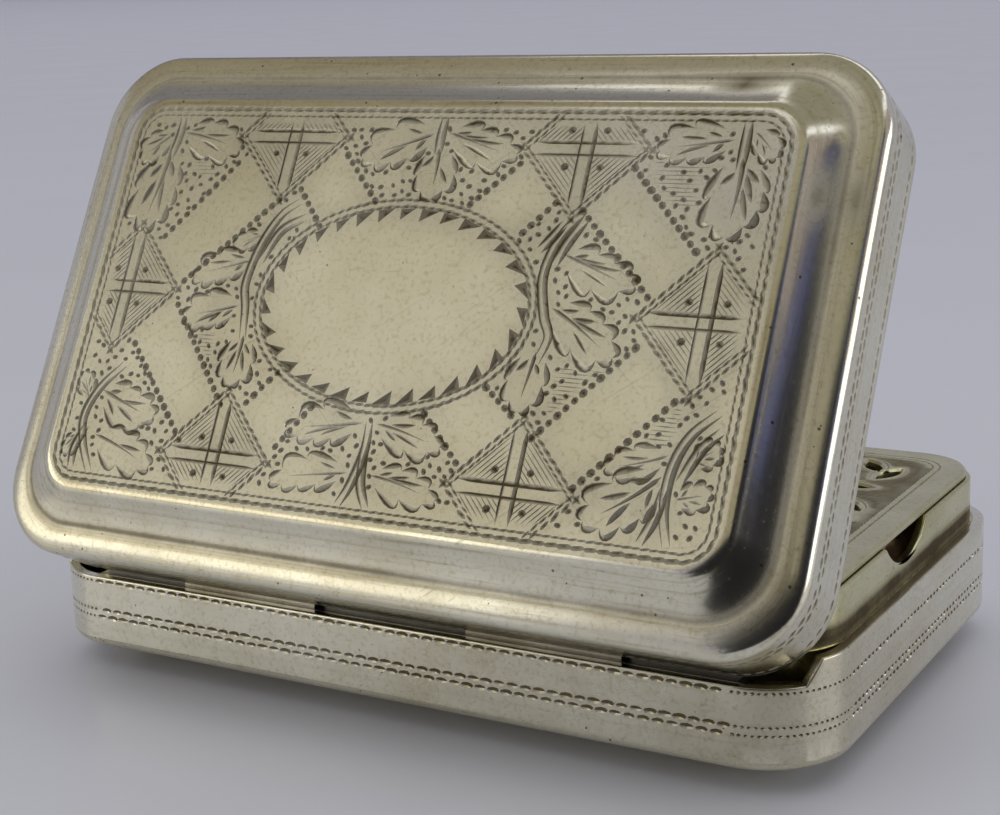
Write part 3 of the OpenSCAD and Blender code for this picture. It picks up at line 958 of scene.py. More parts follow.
class Shell:
    """Points and faces of one closed piece while it is built."""

    def __init__(self) -> None:
        """Starts empty."""
        self.points: list[Array] = []
        self.grime_and_shade: list[Array] = []
        self.flow: list[Array] = []
        self.faces: list[tuple[int, ...]] = []
        self.cut: list[float] = []
        self.finish: list[int] = []
        self.count = 0

    def add(self, points: Array, faces: Sequence[Sequence[int]], grime_and_shade: float | Array = 0.0,
            cut: Sequence[float] | None = None, finish: int = 0, flow: Array | None = None) -> None:
        """Adds points and faces.

        Args:
            points: One (x, y, z) row for each point.
            faces: Their faces, counted from the first of these points.
            grime_and_shade: Dirt and painted shade, for all or for each point.
            cut: Soil on each face that is a cut, with painted shade on some punches' upper facets, and 0 on
                the others.
            finish: Place of their finish in the piece's list.
            flow: Distance along and across the surface at each point, and how streaked it is there.
        """
        self.points.append(np.asarray(points, float))
        self.grime_and_shade.append(np.broadcast_to(grime_and_shade, len(points)).astype(float))
        self.flow.append(np.zeros((len(points), 3)) if flow is None else flow)
        self.faces += [tuple(i + self.count for i in face) for face in faces]
        self.cut += list(cut) if cut is not None else [0.0] * len(faces)
        self.finish += [finish] * len(faces)
        self.count += len(points)

    def loft(self, rings: Sequence[Array], grime_and_shade: float | Sequence[float] | Array = 0.0,
             finish: int = 0, streaked: float = 0.0) -> None:
        """Adds the skin between neighbouring closed rings of equal count.

        Args:
            rings: The rings' points.
            grime_and_shade: Dirt and painted shade on all, on each ring or on each point of each ring.
            finish: Place of the finish in the piece's list.
            streaked: How strong the streaks along the rings are.
        """
        n = len(rings[0])
        faces = [(r * n + k, r * n + (k + 1) % n, (r + 1) * n + (k + 1) % n, (r + 1) * n + k)
                 for r in range(len(rings) - 1) for k in range(n)]
        dirt = np.asarray(grime_and_shade, float)
        dirt = dirt[:, None] if dirt.ndim == 1 else dirt
        stack = np.stack(rings)
        run = np.cumsum(np.linalg.norm(np.diff(stack[0], axis=0, prepend=stack[0][-1:]), axis=1))
        across = np.cumsum(np.linalg.norm(np.diff(stack, axis=0, prepend=stack[:1]), axis=2).mean(axis=1))
        flow = np.stack([*np.meshgrid(np.minimum(run, run[-1] - run), across),
                         np.full((len(rings), n), streaked)], axis=-1)
        self.add(stack.reshape(-1, 3), faces, np.broadcast_to(dirt, (len(rings), n)).ravel(), finish=finish,
                 flow=flow.reshape(-1, 3))

    def cap(self, ring: Array, finish: int = 0) -> None:
        """Adds one flat face across a ring."""
        self.add(ring, [tuple(range(len(ring)))], finish=finish)

    def build(self, name: str, finishes: Sequence[Finish], place: Matrix | None = None) -> bpy.types.Object:
        """Makes the piece.

        Args:
            name: Its name.
            finishes: Its materials.
            place: Where the drawn points go, in metres.

        Returns:
            The object, with its place in its mesh.
        """
        mesh = bpy.data.meshes.new(name)
        mesh.from_pydata((np.vstack(self.points) * MM).tolist(), [], self.faces)
        mesh.attributes.new(GRIME_AND_SHADE, "FLOAT", "POINT").data.foreach_set("value", np.concatenate(self.grime_and_shade))
        mesh.attributes.new(CUT, "FLOAT", "FACE").data.foreach_set("value", self.cut)
        flow = np.vstack(self.flow) * (MM, MM, 1.0)
        mesh.attributes.new(FLOW, "FLOAT_VECTOR", "POINT").data.foreach_set("vector", flow.ravel())
        mesh.polygons.foreach_set("material_index", self.finish)
        self._close(mesh)
        if place is not None:
            mesh.transform(place)
        return make_object(name, mesh, finishes)

    @staticmethod
    def _close(mesh: Mesh) -> None:
        """Welds the shell, turns its faces outwards and creases its cuts and corners."""
        work = bmesh.new()
        work.from_mesh(mesh)
        weld(work)
        cut = work.faces.layers.float[CUT]
        for face in work.faces:
            face.smooth = True
        for edge in work.edges:
            touches_cut = any(face[cut] for face in edge.link_faces)
            edge.smooth = not touches_cut and edge.calc_face_angle(0.0) < SHARP_ANGLE
        work.to_mesh(mesh)
        work.free()


def make_object(name: str, mesh: Mesh, finishes: Sequence[Finish]) -> bpy.types.Object:
    """Makes an object of a mesh, with its materials.

    Args:
        name: Its name.
        mesh: Its mesh, in metres, in the part's frame.
        finishes: Its materials.

    Returns:
        The object.
    """
    mesh.materials.clear()
    for finish in finishes:
        mesh.materials.append(finish)
    return linked(name, mesh)


def settle(piece: bpy.types.Object, body: str, slot: str, node: str) -> None:
    """Puts a finished piece on its body in place of a CAD node, and reports it.

    Args:
        piece: The piece.
        body: The body that it rides on.
        slot: The record's material slot; not used.
        node: The node that it stands for.
    """
    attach(piece, body)
    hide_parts(node)
    LOG.info("%s: %d faces on %s", piece.name, len(piece.data.polygons), body)


# Engraved panel


@dataclass(frozen=True)
class Leaf:
    """One engraved leaf with round lobes along both sides."""

    root: Point
    tip: Point
    breadth: float
    lobes: int = 3
    veined: float = 0.65

    BOW = (-0.06, 0.06)
    SWELL = (0.5, 0.75)
    DRAG = (0.7, 1.3)
    EDGE_WIDTH = (0.9, 1.3)
    VEIN_ROOT = (0.3, 0.6)
    VEIN_TIP = (0.5, 0.66)
    VEIN_WIDTH = (0.18, 0.27)

    def engrave(self, cuts: CutField, hand: random.Random) -> Array:
        """Cuts the leaf.

        Args:
            cuts: Where the cuts go.
            hand: Source of small unevenness.

        Returns:
            The leaf's outline.
        """
        root = np.array(self.root)
        along = np.array(self.tip) - root
        length = np.linalg.norm(along)
        along /= length
        left = np.array([-along[1], along[0]])
        bow = hand.uniform(*self.BOW) * length

        def spot(x: float, y: float) -> Array:
            """Place at a share of the length and a distance to the left."""
            return root + along * x * length + left * (y + bow * 4 * x * (1 - x))

        def half(x: float) -> float:
            """Half breadth at a share of the length."""
            return self.breadth / 2 * math.sin(math.pi * min(x, 1.0) ** 0.85) ** 0.55

        outline: list[Array] = []
        size = self.breadth / 2.1
        edge_w = 0.17 + 0.11 * size
        for side, lobes in ((1, self.lobes), (-1, max(self.lobes - 1, 2))):
            marks = [0.14 + 0.72 * (i / lobes) ** 0.9 for i in range(lobes + 1)]
            notches = [spot(x, side * half(x) * 0.76) for x in marks]
            edge: list[Array] = []
            for i, (a, b) in enumerate(zip(notches, notches[1:])):
                x = (marks[i] + marks[i + 1]) / 2
                swell = np.linalg.norm(b - a) * hand.uniform(*self.SWELL)
                pull = (a + b) / 2 + left * side * swell + along * swell * hand.uniform(*self.DRAG)
                arc = bend(a, pull, b, 7)
                cuts.stroke(arc, edge_w * hand.uniform(*self.EDGE_WIDTH), Taper.CRESCENT, lean=0.6 * side)
                edge += list(arc)
                if hand.random() < self.veined:
                    vein_root = spot(x * hand.uniform(*self.VEIN_ROOT), side * half(x) * 0.18)
                    vein_tip = spot(x + 0.04, side * half(x) * hand.uniform(*self.VEIN_TIP))
                    cuts.stroke(bend(vein_root, spot(x * 0.8, side * half(x) * 0.3), vein_tip, 5),
                                size * hand.uniform(*self.VEIN_WIDTH), lean=0.5 * side)
            tip_arc = bend(notches[-1], spot(1.10, side * half(0.9) * 0.8), spot(1.0, 0), 7)
            cuts.stroke(tip_arc, edge_w, Taper.CRESCENT, lean=0.6 * side)
            edge += list(tip_arc)
            outline += edge if side == 1 else edge[::-1]
        cuts.stroke(bend(root, spot(0.35, 0.03 * length), spot(0.8, 0), 7), size * 0.22, Taper.ROOT, lean=0.4)
        return np.array([root, *outline])


@dataclass(frozen=True)
class Spray:
    """Engraved spray: curved stems with leaves."""

    stems: tuple[Path, ...]
    leaves: tuple[Leaf, ...]
    stem_w: float = 0.24

    def engrave(self, cuts: CutField, hand: random.Random) -> list[Array]:
        """Cuts the spray.

        Args:
            cuts: Where the cuts go.
            hand: Source of small unevenness.

        Returns:
            Outlines of its leaves and stems.
        """
        outlines = [leaf.engrave(cuts, hand) for leaf in self.leaves]
        for stem in self.stems:
            line = smooth_path(stem, 6)
            across = left_of(line)
            for side, width in ((1.0, 1.0), (-1.0, 0.8)):
                cuts.stroke(line + across * side * self.stem_w * 0.62, self.stem_w * width, lean=0.5 * side)
            wide = across * self.stem_w * 1.4
            outlines.append(np.vstack([line + wide, (line - wide)[::-1]]))
        return outlines


SPRAYS = (
    Spray((((0.4, 8.4), (0.35, 7.6), (0.42, 6.7)),),
          (Leaf((0.15, 7.7), (-3.2, 6.5), 1.9), Leaf((0.7, 7.7), (4.1, 6.8), 1.7),
           Leaf((0.42, 7.0), (0.5, 4.85), 2.3, 2))),
    Spray((((0.15, -4.7), (0.2, -6.0), (-0.1, -7.4), (-0.5, -8.3)), ((0.2, -5.6), (0.35, -7.2), (0.9, -8.3))),
          (Leaf((-0.1, -4.8), (-3.7, -5.4), 1.6), Leaf((0.5, -4.8), (3.6, -5.5), 1.6),
           Leaf((-0.3, -6.9), (-3.9, -7.6), 1.4), Leaf((0.7, -6.9), (3.9, -7.6), 1.4))),
    Spray((((-5.8, 4.5), (-6.7, 3.8), (-7.4, 2.4), (-7.7, 0.7), (-7.4, -0.4), (-7.1, -1.9)),
           ((-5.3, 3.8), (-6.5, 3.1), (-7.2, 1.6))),
          (Leaf((-7.6, 1.75), (-10.5, 0.8), 1.5), Leaf((-7.4, 2.9), (-8.8, 2.4), 0.9, 2),
           Leaf((-7.7, -0.3), (-10.5, -1.0), 1.7),
           Leaf((-7.1, -1.6), (-7.2, -3.8), 2.0, 2))),
    Spray((((7.8, 4.6), (6.9, 3.4), (6.5, 1.8), (6.9, 0.2), (7.3, -0.7), (7.0, -1.8)),
           ((7.9, 4.2), (7.3, 3.2), (6.9, 2.2)), ((7.0, 4.0), (6.5, 3.3), (6.1, 2.8))),
          (Leaf((7.2, 2.7), (10.5, 1.6), 1.7), Leaf((7.2, 0.5), (10.2, -1.3), 2.1),
           Leaf((6.95, -1.3), (6.7, -3.7), 2.0, 2))),
    Spray((((-13.4, 8.3), (-13.4, 7.4), (-13.6, 6.2)),),
          (Leaf((-13.1, 7.5), (-9.9, 6.8), 1.9), Leaf((-13.6, 6.6), (-14.1, 2.9), 2.6),
           Leaf((-13.8, 7.4), (-15.2, 6.2), 1.5, 2))),
    Spray((((13.85, 8.4), (13.85, 7.6), (13.85, 6.3)),),
          (Leaf((13.5, 7.6), (10.4, 7.1), 1.6), Leaf((13.9, 6.9), (13.75, 3.7), 2.7),
           Leaf((14.2, 7.9), (15.2, 6.9), 1.2, 2))),
    Spray((((-13.0, -3.3), (-14.1, -4.5), (-14.6, -5.8), (-14.3, -7.0), (-13.5, -8.3)),
           ((-14.3, -6.2), (-14.7, -7.3), (-14.6, -8.2))),
          (Leaf((-13.9, -4.6), (-10.8, -5.5), 2.0), Leaf((-13.7, -6.6), (-10.4, -7.7), 1.8),
           Leaf((-14.6, -5.0), (-15.2, -3.9), 1.0, 2), Leaf((-14.7, -6.6), (-15.2, -7.6), 0.9, 2))),
    Spray((((15.0, -3.0), (14.0, -4.0), (13.5, -5.3), (13.5, -6.8), (13.9, -8.2)),
           ((15.2, -3.7), (14.5, -4.5), (13.9, -5.8)), ((13.4, -5.9), (13.2, -7.2), (12.8, -8.2))),
          (Leaf((13.2, -5.6), (10.4, -7.6), 2.3), Leaf((13.3, -4.8), (10.9, -5.5), 1.3, 2),
           Leaf((14.3, -5.0), (15.2, -4.3), 1.2, 2), Leaf((13.9, -6.4), (15.2, -6.0), 1.2, 2))),
)

DIAMONDS: tuple[Point, ...] = ((-7.0, 7.4), (7.2, 7.1), (-14.1, 0.2), (13.65, 0.3), (-7.15, -6.95),
                               (7.05, -6.85))

HATCHED: tuple[tuple[Point, Point], ...] = (
    ((10.2, 4.9), (12.9, 6.7)), ((7.8, -3.6), (10.2, -1.8)), ((11.2, -4.6), (13.6, -3.0)),
    ((-12.4, 5.6), (-10.4, 6.4)), ((-10.6, -2.6), (-8.4, -1.7)),
)

STRAPS: tuple[tuple[Point, Point, Point, Point], ...] = (
    ((-9.7, 6.1), (-12.7, 2.6), (-11.0, 0.6), (-7.0, 4.5)),
    ((-4.0, 6.6), (-2.1, 4.6), (-4.6, 3.4), (-6.0, 5.0)),
    ((4.4, 6.4), (2.5, 4.6), (5.2, 3.5), (6.4, 4.8)),
    ((9.5, 6.35), (12.75, 3.05), (11.15, 1.15), (7.65, 4.5)),
    ((-12.8, -2.4), (-9.1, -6.4), (-7.4, -4.7), (-11.0, -0.5)),
    ((-4.1, -6.2), (-2.8, -4.4), (-4.9, -3.1), (-6.1, -4.5)),
    ((4.5, -6.0), (2.6, -4.2), (5.1, -2.9), (6.45, -3.9)),
    ((9.7, -6.45), (13.1, -2.8), (11.1, -0.85), (7.55, -4.7)),
)


@dataclass
class PanelPattern:
    """Engraving of the panel: a rope border, an oval, diamonds on straps, and leaf sprays."""

    border_x: float = 15.72
    border_y: float = 8.65
    border_r: float = 1.3
    row_gap: float = 0.30
    oval_x: float = -0.2
    oval_y: float = 0.16
    oval_half_x: float = 6.73
    oval_half_y: float = 4.55
    diamond_half_x: float = 2.9
    diamond_half_y: float = 2.98
    cross_gap: float = 0.28
    strap_reach: float = 1.0
    cross_end: float = 0.45
    cross_w: Point = (0.21, 0.16)
    cross_room: float = 0.4
    rope_room: float = 0.25
    dot_out: float = 0.78
    tooth_gap: float = 0.08
    hatch_step: float = 0.175
    hatch_w: float = 0.065
    hatch_out: float = 0.84
    hatch_share: float = 0.62
    ground_step: float = 0.17
    ground_w: float = 0.06
    specks: int = 12000
    speck_edge: float = 0.75
    speck_room: float = 0.34
    speck_clear: float = 0.10
    seed: int = 41
    taken: list[Array] = field(default_factory=list)

    def engrave(self, cuts: CutField) -> None:
        """Cuts the whole pattern.

        Args:
            cuts: Where the cuts go.
        """
        hand = random.Random(self.seed)
        self.taken = [self._strap_ground(np.array(strap)) for strap in STRAPS]
        self._border(cuts)
        self._oval(cuts)
        for middle in DIAMONDS:
            self._diamond(cuts, middle)
        rows = [np.array(pair) for a, b, c, d in STRAPS for pair in ((a, b), (c, d))]
        BEAD.strike(cuts, rows)
        for spray in SPRAYS:
            self.taken += spray.engrave(cuts, hand)
        for low, high in HATCHED:
            level_lines(cuts, low, high, self.taken, self.ground_step, self.ground_w)
        self._specks(cuts, hand)

    def _strap_ground(self, strap: Array) -> Array:
        """Outline of a strap's plain ground, which reaches past its rows of beads."""
        ahead = strap[[1, 1, 2, 2]] - strap[[0, 0, 3, 3]]
        ahead *= np.array([-1, 1, 1, -1])[:, None] / np.linalg.norm(ahead, axis=1)[:, None]
        return strap + ahead * self.strap_reach

    def _border(self, cuts: CutField) -> None:
        """Two rope lines round the panel."""
        stations = ring_stations(8)
        for inset, punch in ((0.0, ROPE), (self.row_gap, FINE_ROPE)):
            ring = RoundRect(0, 0, self.border_x - inset, self.border_y - inset, self.border_r - inset)
            punch.strike(cuts, [ring.at(stations)], closed=True)

    def oval(self, inset: float, steps: int = 96) -> Array:
        """Points of the oval, drawn in by an inset."""
        a = np.arange(steps) * 2 * math.pi / steps
        return np.stack([self.oval_x + (self.oval_half_x - inset) * np.cos(a),
                         self.oval_y + (self.oval_half_y - inset) * np.sin(a)], axis=1)

    def _oval(self, cuts: CutField) -> None:
        """Two rope lines round the plain oval, with saw teeth inside them."""
        for inset in (0.0, self.row_gap):
            OVAL_ROPE.strike(cuts, [self.oval(inset)], closed=True)
        TOOTH.strike(cuts, [self.oval(self.row_gap + self.tooth_gap + TOOTH.length / 4)], closed=True)
        self.taken.append(self.oval(0.0))

    def _clip(self, a: Array, b: Array, room: float = 0.55) -> Array | None:
        """The part of a line inside the border, or None.

        Args:
            a: Its start.
            b: Its end.
            room: Distance kept from the border.

        Returns:
            Its two ends, or None where too little is left.
        """
        t = np.linspace(0, 1, 41)
        places = a + (b - a) * t[:, None]
        limit = np.array([self.border_x - room, self.border_y - room])
        within = (np.abs(places) <= limit).all(axis=1)
        if within.sum() < 3:
            return None
        return places[within][[0, -1]]

    def _diamond(self, cuts: CutField, middle: Point) -> None:
        """A diamond with a double rope outline, a cross of paired lines, hatching and four dots.

        Args:
            cuts: Where the cuts go.
            middle: Its middle.
        """
        c = np.array(middle)
        tips = np.array([(self.diamond_half_x, 0), (0, self.diamond_half_y), (-self.diamond_half_x, 0),
                         (0, -self.diamond_half_y)])
        self.taken.append(c + tips)
        sides = [(tips[i], tips[(i + 1) % 4]) for i in range(4)]
        for share, punch in ((1.0, OVAL_ROPE), (0.90, FINE_ROPE)):
            rows = [self._clip(c + a * share, c + b * share, self.rope_room) for a, b in sides]
            punch.strike(cuts, [row for row in rows if row is not None])
        depth = np.linalg.norm(tips[0] * tips[1][::-1]) / np.linalg.norm(tips[0] - tips[1])
        count = int(depth * self.hatch_share / self.hatch_step)
        for a, b in sides:
            for i in range(count):
                share = self.hatch_out - i * self.hatch_step / depth
                ends = np.array([a, b]) * share
                ends += (ends.mean(axis=0) - ends) * (self.cross_gap * 1.5 / np.abs(ends).max())
                line = self._clip(c + ends[0], c + ends[1])
                if line is not None:
                    cuts.stroke(np.linspace(line[0], line[1], 4), self.hatch_w, soil=0.5)
        for axis in (0, 1):
            for side, width in zip((1, -1), self.cross_w):
                ends = np.zeros((2, 2))
                ends[:, axis] = np.array([1, -1]) * (tips[axis][axis] - self.cross_end)
                ends[:, 1 - axis] = side * self.cross_gap
                line = self._clip(c + ends[0], c + ends[1], self.cross_room)
                if line is not None:
                    cuts.stroke(np.linspace(line[0], line[1], 8), width, Taper.EVEN, lean=0.5 * side)
        dots = [c + np.array([sx, sy]) * self.dot_out for sx in (1, -1) for sy in (1, -1)]
        BEAD.scatter(cuts, [dot for dot in dots if self._clip(dot, dot + 0.01) is not None])

    def _specks(self, cuts: CutField, hand: random.Random) -> None:
        """Strikes specks over the ground that the pattern leaves free.

        Args:
            cuts: Where they go.
            hand: Source of their places.
        """
        reach_x, reach_y = self.border_x - self.speck_edge, self.border_y - self.speck_edge
        tries = np.array([(hand.uniform(-1, 1) * reach_x, hand.uniform(-1, 1) * reach_y)
                          for _ in range(self.specks)])
        free = outside_all(tries, self.taken)
        for dx, dy in ((0, 0), (1, 0), (-1, 0), (0, 1), (0, -1)):
            free &= cuts.depth_at(tries + np.array([dx, dy]) * self.speck_clear) == 0
        dots: list[Array] = []
        for dot in tries[free]:
            if all(np.linalg.norm(dot - other) > self.speck_room for other in dots):
                dots.append(dot)
        SPECK.scatter(cuts, dots)


# Stamped sheets


@dataclass
class GroundTone:
    """Film of old polish that gathers where the engraving is close."""

    cuts: CutField
    half_x: float
    half_y: float
    step: float = 0.3
    reach: int = 3
    strength: float = 0.42
    inset: float = 0.98
    grid: Array = field(init=False)

    def __post_init__(self) -> None:
        """Measures how much of the ground near each grid point is cut."""
        x, y = (np.arange(-half, half + self.step, self.step) for half in (self.half_x, self.half_y))
        places = np.stack(np.meshgrid(x, y), axis=-1)
        cut = (self.cuts.depth_at(places.reshape(-1, 2)) > 0).reshape(places.shape[:2]).astype(float)
        spread = np.hanning(2 * self.reach + 3)[1:-1]
        spread /= spread.sum()
        cut = np.apply_along_axis(np.convolve, 0, cut, spread, "same")
        self.grid = np.apply_along_axis(np.convolve, 1, cut, spread, "same")

    def spots(self, edge: Array) -> Array:
        """Grid points well inside an edge, where triangles meet."""
        counts = (np.array([self.half_x, self.half_y]) / self.step).astype(int)
        grid = np.stack(np.meshgrid(*(np.arange(-n, n + 1) for n in counts)), axis=-1).reshape(-1, 2)
        return (grid * self.step)[inside_polygon(grid * self.step / self.inset, edge)]

    def at(self, places: Array) -> Array:
        """Strength of the film at each place.

        Args:
            places: One (x, y) row for each place.

        Returns:
            One strength for each.
        """
        column, row = ((places + (self.half_x, self.half_y)) / self.step).T
        i = np.clip(row.astype(int), 0, self.grid.shape[0] - 2)
        j = np.clip(column.astype(int), 0, self.grid.shape[1] - 2)
        v, u = np.clip(row - i, 0, 1), np.clip(column - j, 0, 1)
        low = self.grid[i, j] * (1 - u) + self.grid[i, j + 1] * u
        high = self.grid[i + 1, j] * (1 - u) + self.grid[i + 1, j + 1] * u
        return self.strength * (low * (1 - v) + high * v)


@dataclass
class StampedSheet:
    """Stamped sheet of the lid or the base: rim edge, sloping band, hollow moulding and flat panel."""

    half_x: float
    half_y: float
    corner_r: float = 3.5
    sheet_t: float = 0.4
    rim_r: float = 0.45
    rim_turn: float = math.radians(70)
    band_w: float = 1.25
    cove_w: float = 1.5
    cove_h: float = 0.95
    cove_pull: Point = (0.829, 0.302)
    panel_r: float = 1.9
    edge_drop: float = 0.14
    edge_run: float = 0.30
    # Painted shade as (place past the band's end, width, strength): in the crease between band and moulding,
    # with dirt there, and fainter over the band.
    shade_bands: tuple[Triple, ...] = ((0.06, 0.13, 0.5), (-0.25, 0.45, 0.16))
    foot: Point = (0.10, 0.25)
    stains: tuple[Triple, ...] = ((6.88, 2.1, 0.7), (6.86, 0.8, 0.45), (8.12, 1.7, 0.8))
    stain_size: Point = (0.06, 0.4)
    crust_depth: float = 0.042
    corner_steps: int = 18
    stain_steps: int = 3
    stain_step: float = 0.05
    streaked: float = 0.75

    def __post_init__(self) -> None:
        """Works out the band's slope, the end of the rim's turn, the moulding's foot and the panel's edge."""
        self.slope: float = math.tan(math.pi / 2 - self.rim_turn)
        self.arc_in: float = self.rim_r * (1 - math.cos(self.rim_turn))
        self.arc_h: float = self.rim_r * math.sin(self.rim_turn)
        self.cove_z: float = self.arc_h + self.slope * (self.band_w - self.arc_in) / 2
        self.height: float = self.cove_z + self.cove_h
        self.panel_in: float = self.band_w + self.cove_w

    def profile(self) -> Array:
        """Outer profile as (inset, height) rows, from the wall to the panel."""
        run = self.band_w - self.arc_in
        arc = [(self.rim_r * (1 - math.cos(a)), self.rim_r * math.sin(a))
               for a in np.linspace(0, self.rim_turn, 9)]
        band = [(self.arc_in + s * run, self.arc_h + self.slope * run * (s - s * s / 2))
                for s in np.linspace(0, 1, 9)[1:]]
        pull = (self.band_w + self.cove_pull[0], self.cove_z + self.cove_pull[1])
        rise = bend((self.band_w, self.cove_z), pull, (self.panel_in, self.height), 24)
        cove = [tuple(p) for p in rise[1:] if p[1] < self.height - self.edge_drop]
        edge = bend(cove[-1], (self.panel_in, self.height), (self.panel_in + self.edge_run, self.height), 8)
        return np.array(arc + band + cove + [tuple(p) for p in edge[1:]])

    def inner_profile(self) -> Array:
        """Inner profile, a sheet's thickness inside the outer one."""
        outer = self.profile()
        inward = -left_of(outer)
        inward[0] = (1, 0)
        inner = outer + inward * self.sheet_t
        inner[:, 0] = np.maximum.accumulate(inner[:, 0])
        inner[:, 1] = np.clip(inner[:, 1], 0.0, self.height - self.sheet_t)
        return inner

    def ring(self, inset: float, height: float, stations: Array) -> Array:
        """Points of one ring round the sheet."""
        radius = self.corner_r + (self.panel_r - self.corner_r) * inset / self.panel_in
        outline = RoundRect(0, 0, self.half_x - inset, self.half_y - inset, radius)
        return outline.ring(stations, height)

    def shell(self, sheet_cuts: CutField) -> Shell:
        """The sheet as a closed shell with its rim at z = 0.

        Args:
            sheet_cuts: Cuts in the flat panel.

        Returns:
            The shell, with silver outside and gilt inside.
        """
        near = [s + k * self.stain_step for s, _, _ in self.stains
                for k in range(-self.stain_steps, self.stain_steps + 1)]
        stations = ring_stations(self.corner_steps, (4.5, 8.5, 0.5, 2.5, 6.5, *near))
        made = Shell()
        outer = self.profile()
        inset, rise = outer.T
        dirt = self.foot[1] * bell(rise, 0.0, self.foot[0])
        # Painted shade in the crease and over the band, through the grime attribute.
        for past, width, strength in self.shade_bands:
            dirt += strength * bell(inset, self.band_w + past, width)
        dirt = dirt[:, None] + np.zeros(len(stations))
        for station, place, strength in self.stains:
            spread = bell(stations, station, self.stain_size[0])
            dirt += strength * np.outer(bell(inset, place, self.stain_size[1]), spread)
        rings = [self.ring(x, z, stations) for x, z in outer]
        made.loft(rings, grime_and_shade=dirt, streaked=self.streaked)
        tone = GroundTone(sheet_cuts, self.half_x - self.panel_in, self.half_y - self.panel_in)
        edge = rings[-1][:, :2]
        panel = sheet_cuts.sheet([edge], spots=tone.spots(edge))
        dirt = np.maximum(np.minimum(panel.depths / self.crust_depth, 1.0), tone.at(panel.places))
        made.add(raised(panel.places, self.height - panel.depths), panel.triangles, dirt, panel.soil)
        inside = [self.ring(x, z, stations) for x, z in self.inner_profile()]
        made.loft([rings[0], inside[0]])
        made.loft(inside, finish=1)
        made.cap(inside[-1], finish=1)
        return made


# Upright walls


def edge_rows(outline: RoundRect, stations: Array, lip: Lip, thickness: float, edge_r: float) -> list[Array]:
    """Rows of points over the lip of a wall, which round its two edges.

    Args:
        outline: The wall's outline.
        stations: Stations of the points.
        lip: Height of the lip.
        thickness: The wall's thickness.
        edge_r: Radius of its edges.

    Returns:
        The rows, from outside to inside.
    """
    turn = np.linspace(0, math.pi / 2, 4)
    outer = [(edge_r * (1 - math.cos(a)), edge_r * (1 - math.sin(a))) for a in turn]
    middle = [(d, 0.0) for d in np.linspace(edge_r, thickness - edge_r, 5)[1:-1]]
    inner = [(thickness - d, drop) for d, drop in reversed(outer)]
    return [outline.ring(stations, lip(stations, d) - drop, d) for d, drop in outer + middle + inner]


@dataclass
class WallBand:
    """Upright wall of the lid or the base, drawn with its foot on the sheet and its lip at the mouth.

    The lip function gives the wall's height at a station and at a depth into the wall.
    """

    outline: RoundRect
    thickness: float
    lip: Lip
    steps: tuple[float, ...] = ()
    rows: tuple[float, ...] = ()
    front: Punch = NICK
    corners: Punch = TICK
    sides: Punch = SIDE_TICK
    edge_r: float = 0.06
    lip_dirt: float = 0.25
    streaked: float = 0.3
    smears: tuple[Point, ...] = ((0.0, 0.0), (LAST_STATION, 0.0))

    def stations(self) -> Array:
        """Stations of the wall's rings, twice at each step of the lip."""
        twice = [s + k * STEP_WIDTH for s in self.steps for k in (-1, 1)]
        return ring_stations(CORNER_STEPS, [0.5, 2.5, 6.5, 8.5, *twice])

    def shell(self) -> Shell:
        """The wall as a closed shell, with its foot at z = 0 and silver outside, gilt inside."""
        stations = self.stations()
        made = Shell()
        self._outer_face(made, stations)
        rows = edge_rows(self.outline, stations, self.lip, self.thickness, self.edge_r)
        made.loft(rows, grime_and_shade=[self.lip_dirt] + [0.0] * (len(rows) - 1))
        foot_out = self.outline.ring(stations, 0.0)
        foot_in = self.outline.ring(stations, 0.0, self.thickness)
        made.loft([rows[-1], foot_in], finish=1)
        made.loft([foot_in, foot_out])
        return made

    def _outer_face(self, made: Shell, stations: Array) -> None:
        """Adds the outer face with its rows of nicks.

        Args:
            made: The wall's shell.
            stations: Stations of its rings.
        """
        whole = np.append(stations, LAST_STATION)
        run = self.outline.run(whole)
        top = self.lip(whole, 0.0) - self.edge_r
        cuts = CutField()
        bounds = self.outline.run(np.arange(LAST_STATION + 1))
        for stretch, (start, end) in enumerate(zip(bounds, bounds[1:])):
            flat = self.front if stretch == FRONT_SIDE else self.sides
            punch = self.corners if stretch in CORNERS else flat
            shifts = [(i % 2 - 0.5) * punch.pitch / 2 for i in range(len(self.rows))]
            inset = punch.pitch * 0.65
            punch.strike(cuts, [np.array([(start + inset + shift, z), (end - inset + shift, z)])
                                for shift, z in zip(shifts, self.rows)])
        loop = np.vstack([np.column_stack([run, np.zeros_like(run)]), np.column_stack([run, top])[::-1]])
        ribs = [np.array([(r, 0.0), (r, t)]) for r, t in zip(run[1:-1], top[1:-1])]
        ribs += [np.array([(0.0, z + side), (run[-1], z + side)]) for z in self.rows
                 for side in (-self.front.width, self.front.width) if z + side < top.max()]

        def keep(middles: Array) -> Array:
            """Triangles below the lip."""
            return middles[:, 1] < self.lip(self.outline.station(middles[:, 0]), 0.0) - self.edge_r

        face = cuts.sheet([loop], ribs, keep)
        walked, rise = face.places.T
        spots = self.outline.station(walked)
        smear = np.interp(spots, *zip(*self.smears))
        across = np.minimum(walked, run[-1] - walked)
        flow = np.column_stack([across, rise, np.full(len(rise), self.streaked)])
        made.add(self.outline.ring(spots, rise, face.depths), face.triangles, smear, face.soil, flow=flow)


# Sub-assemblies


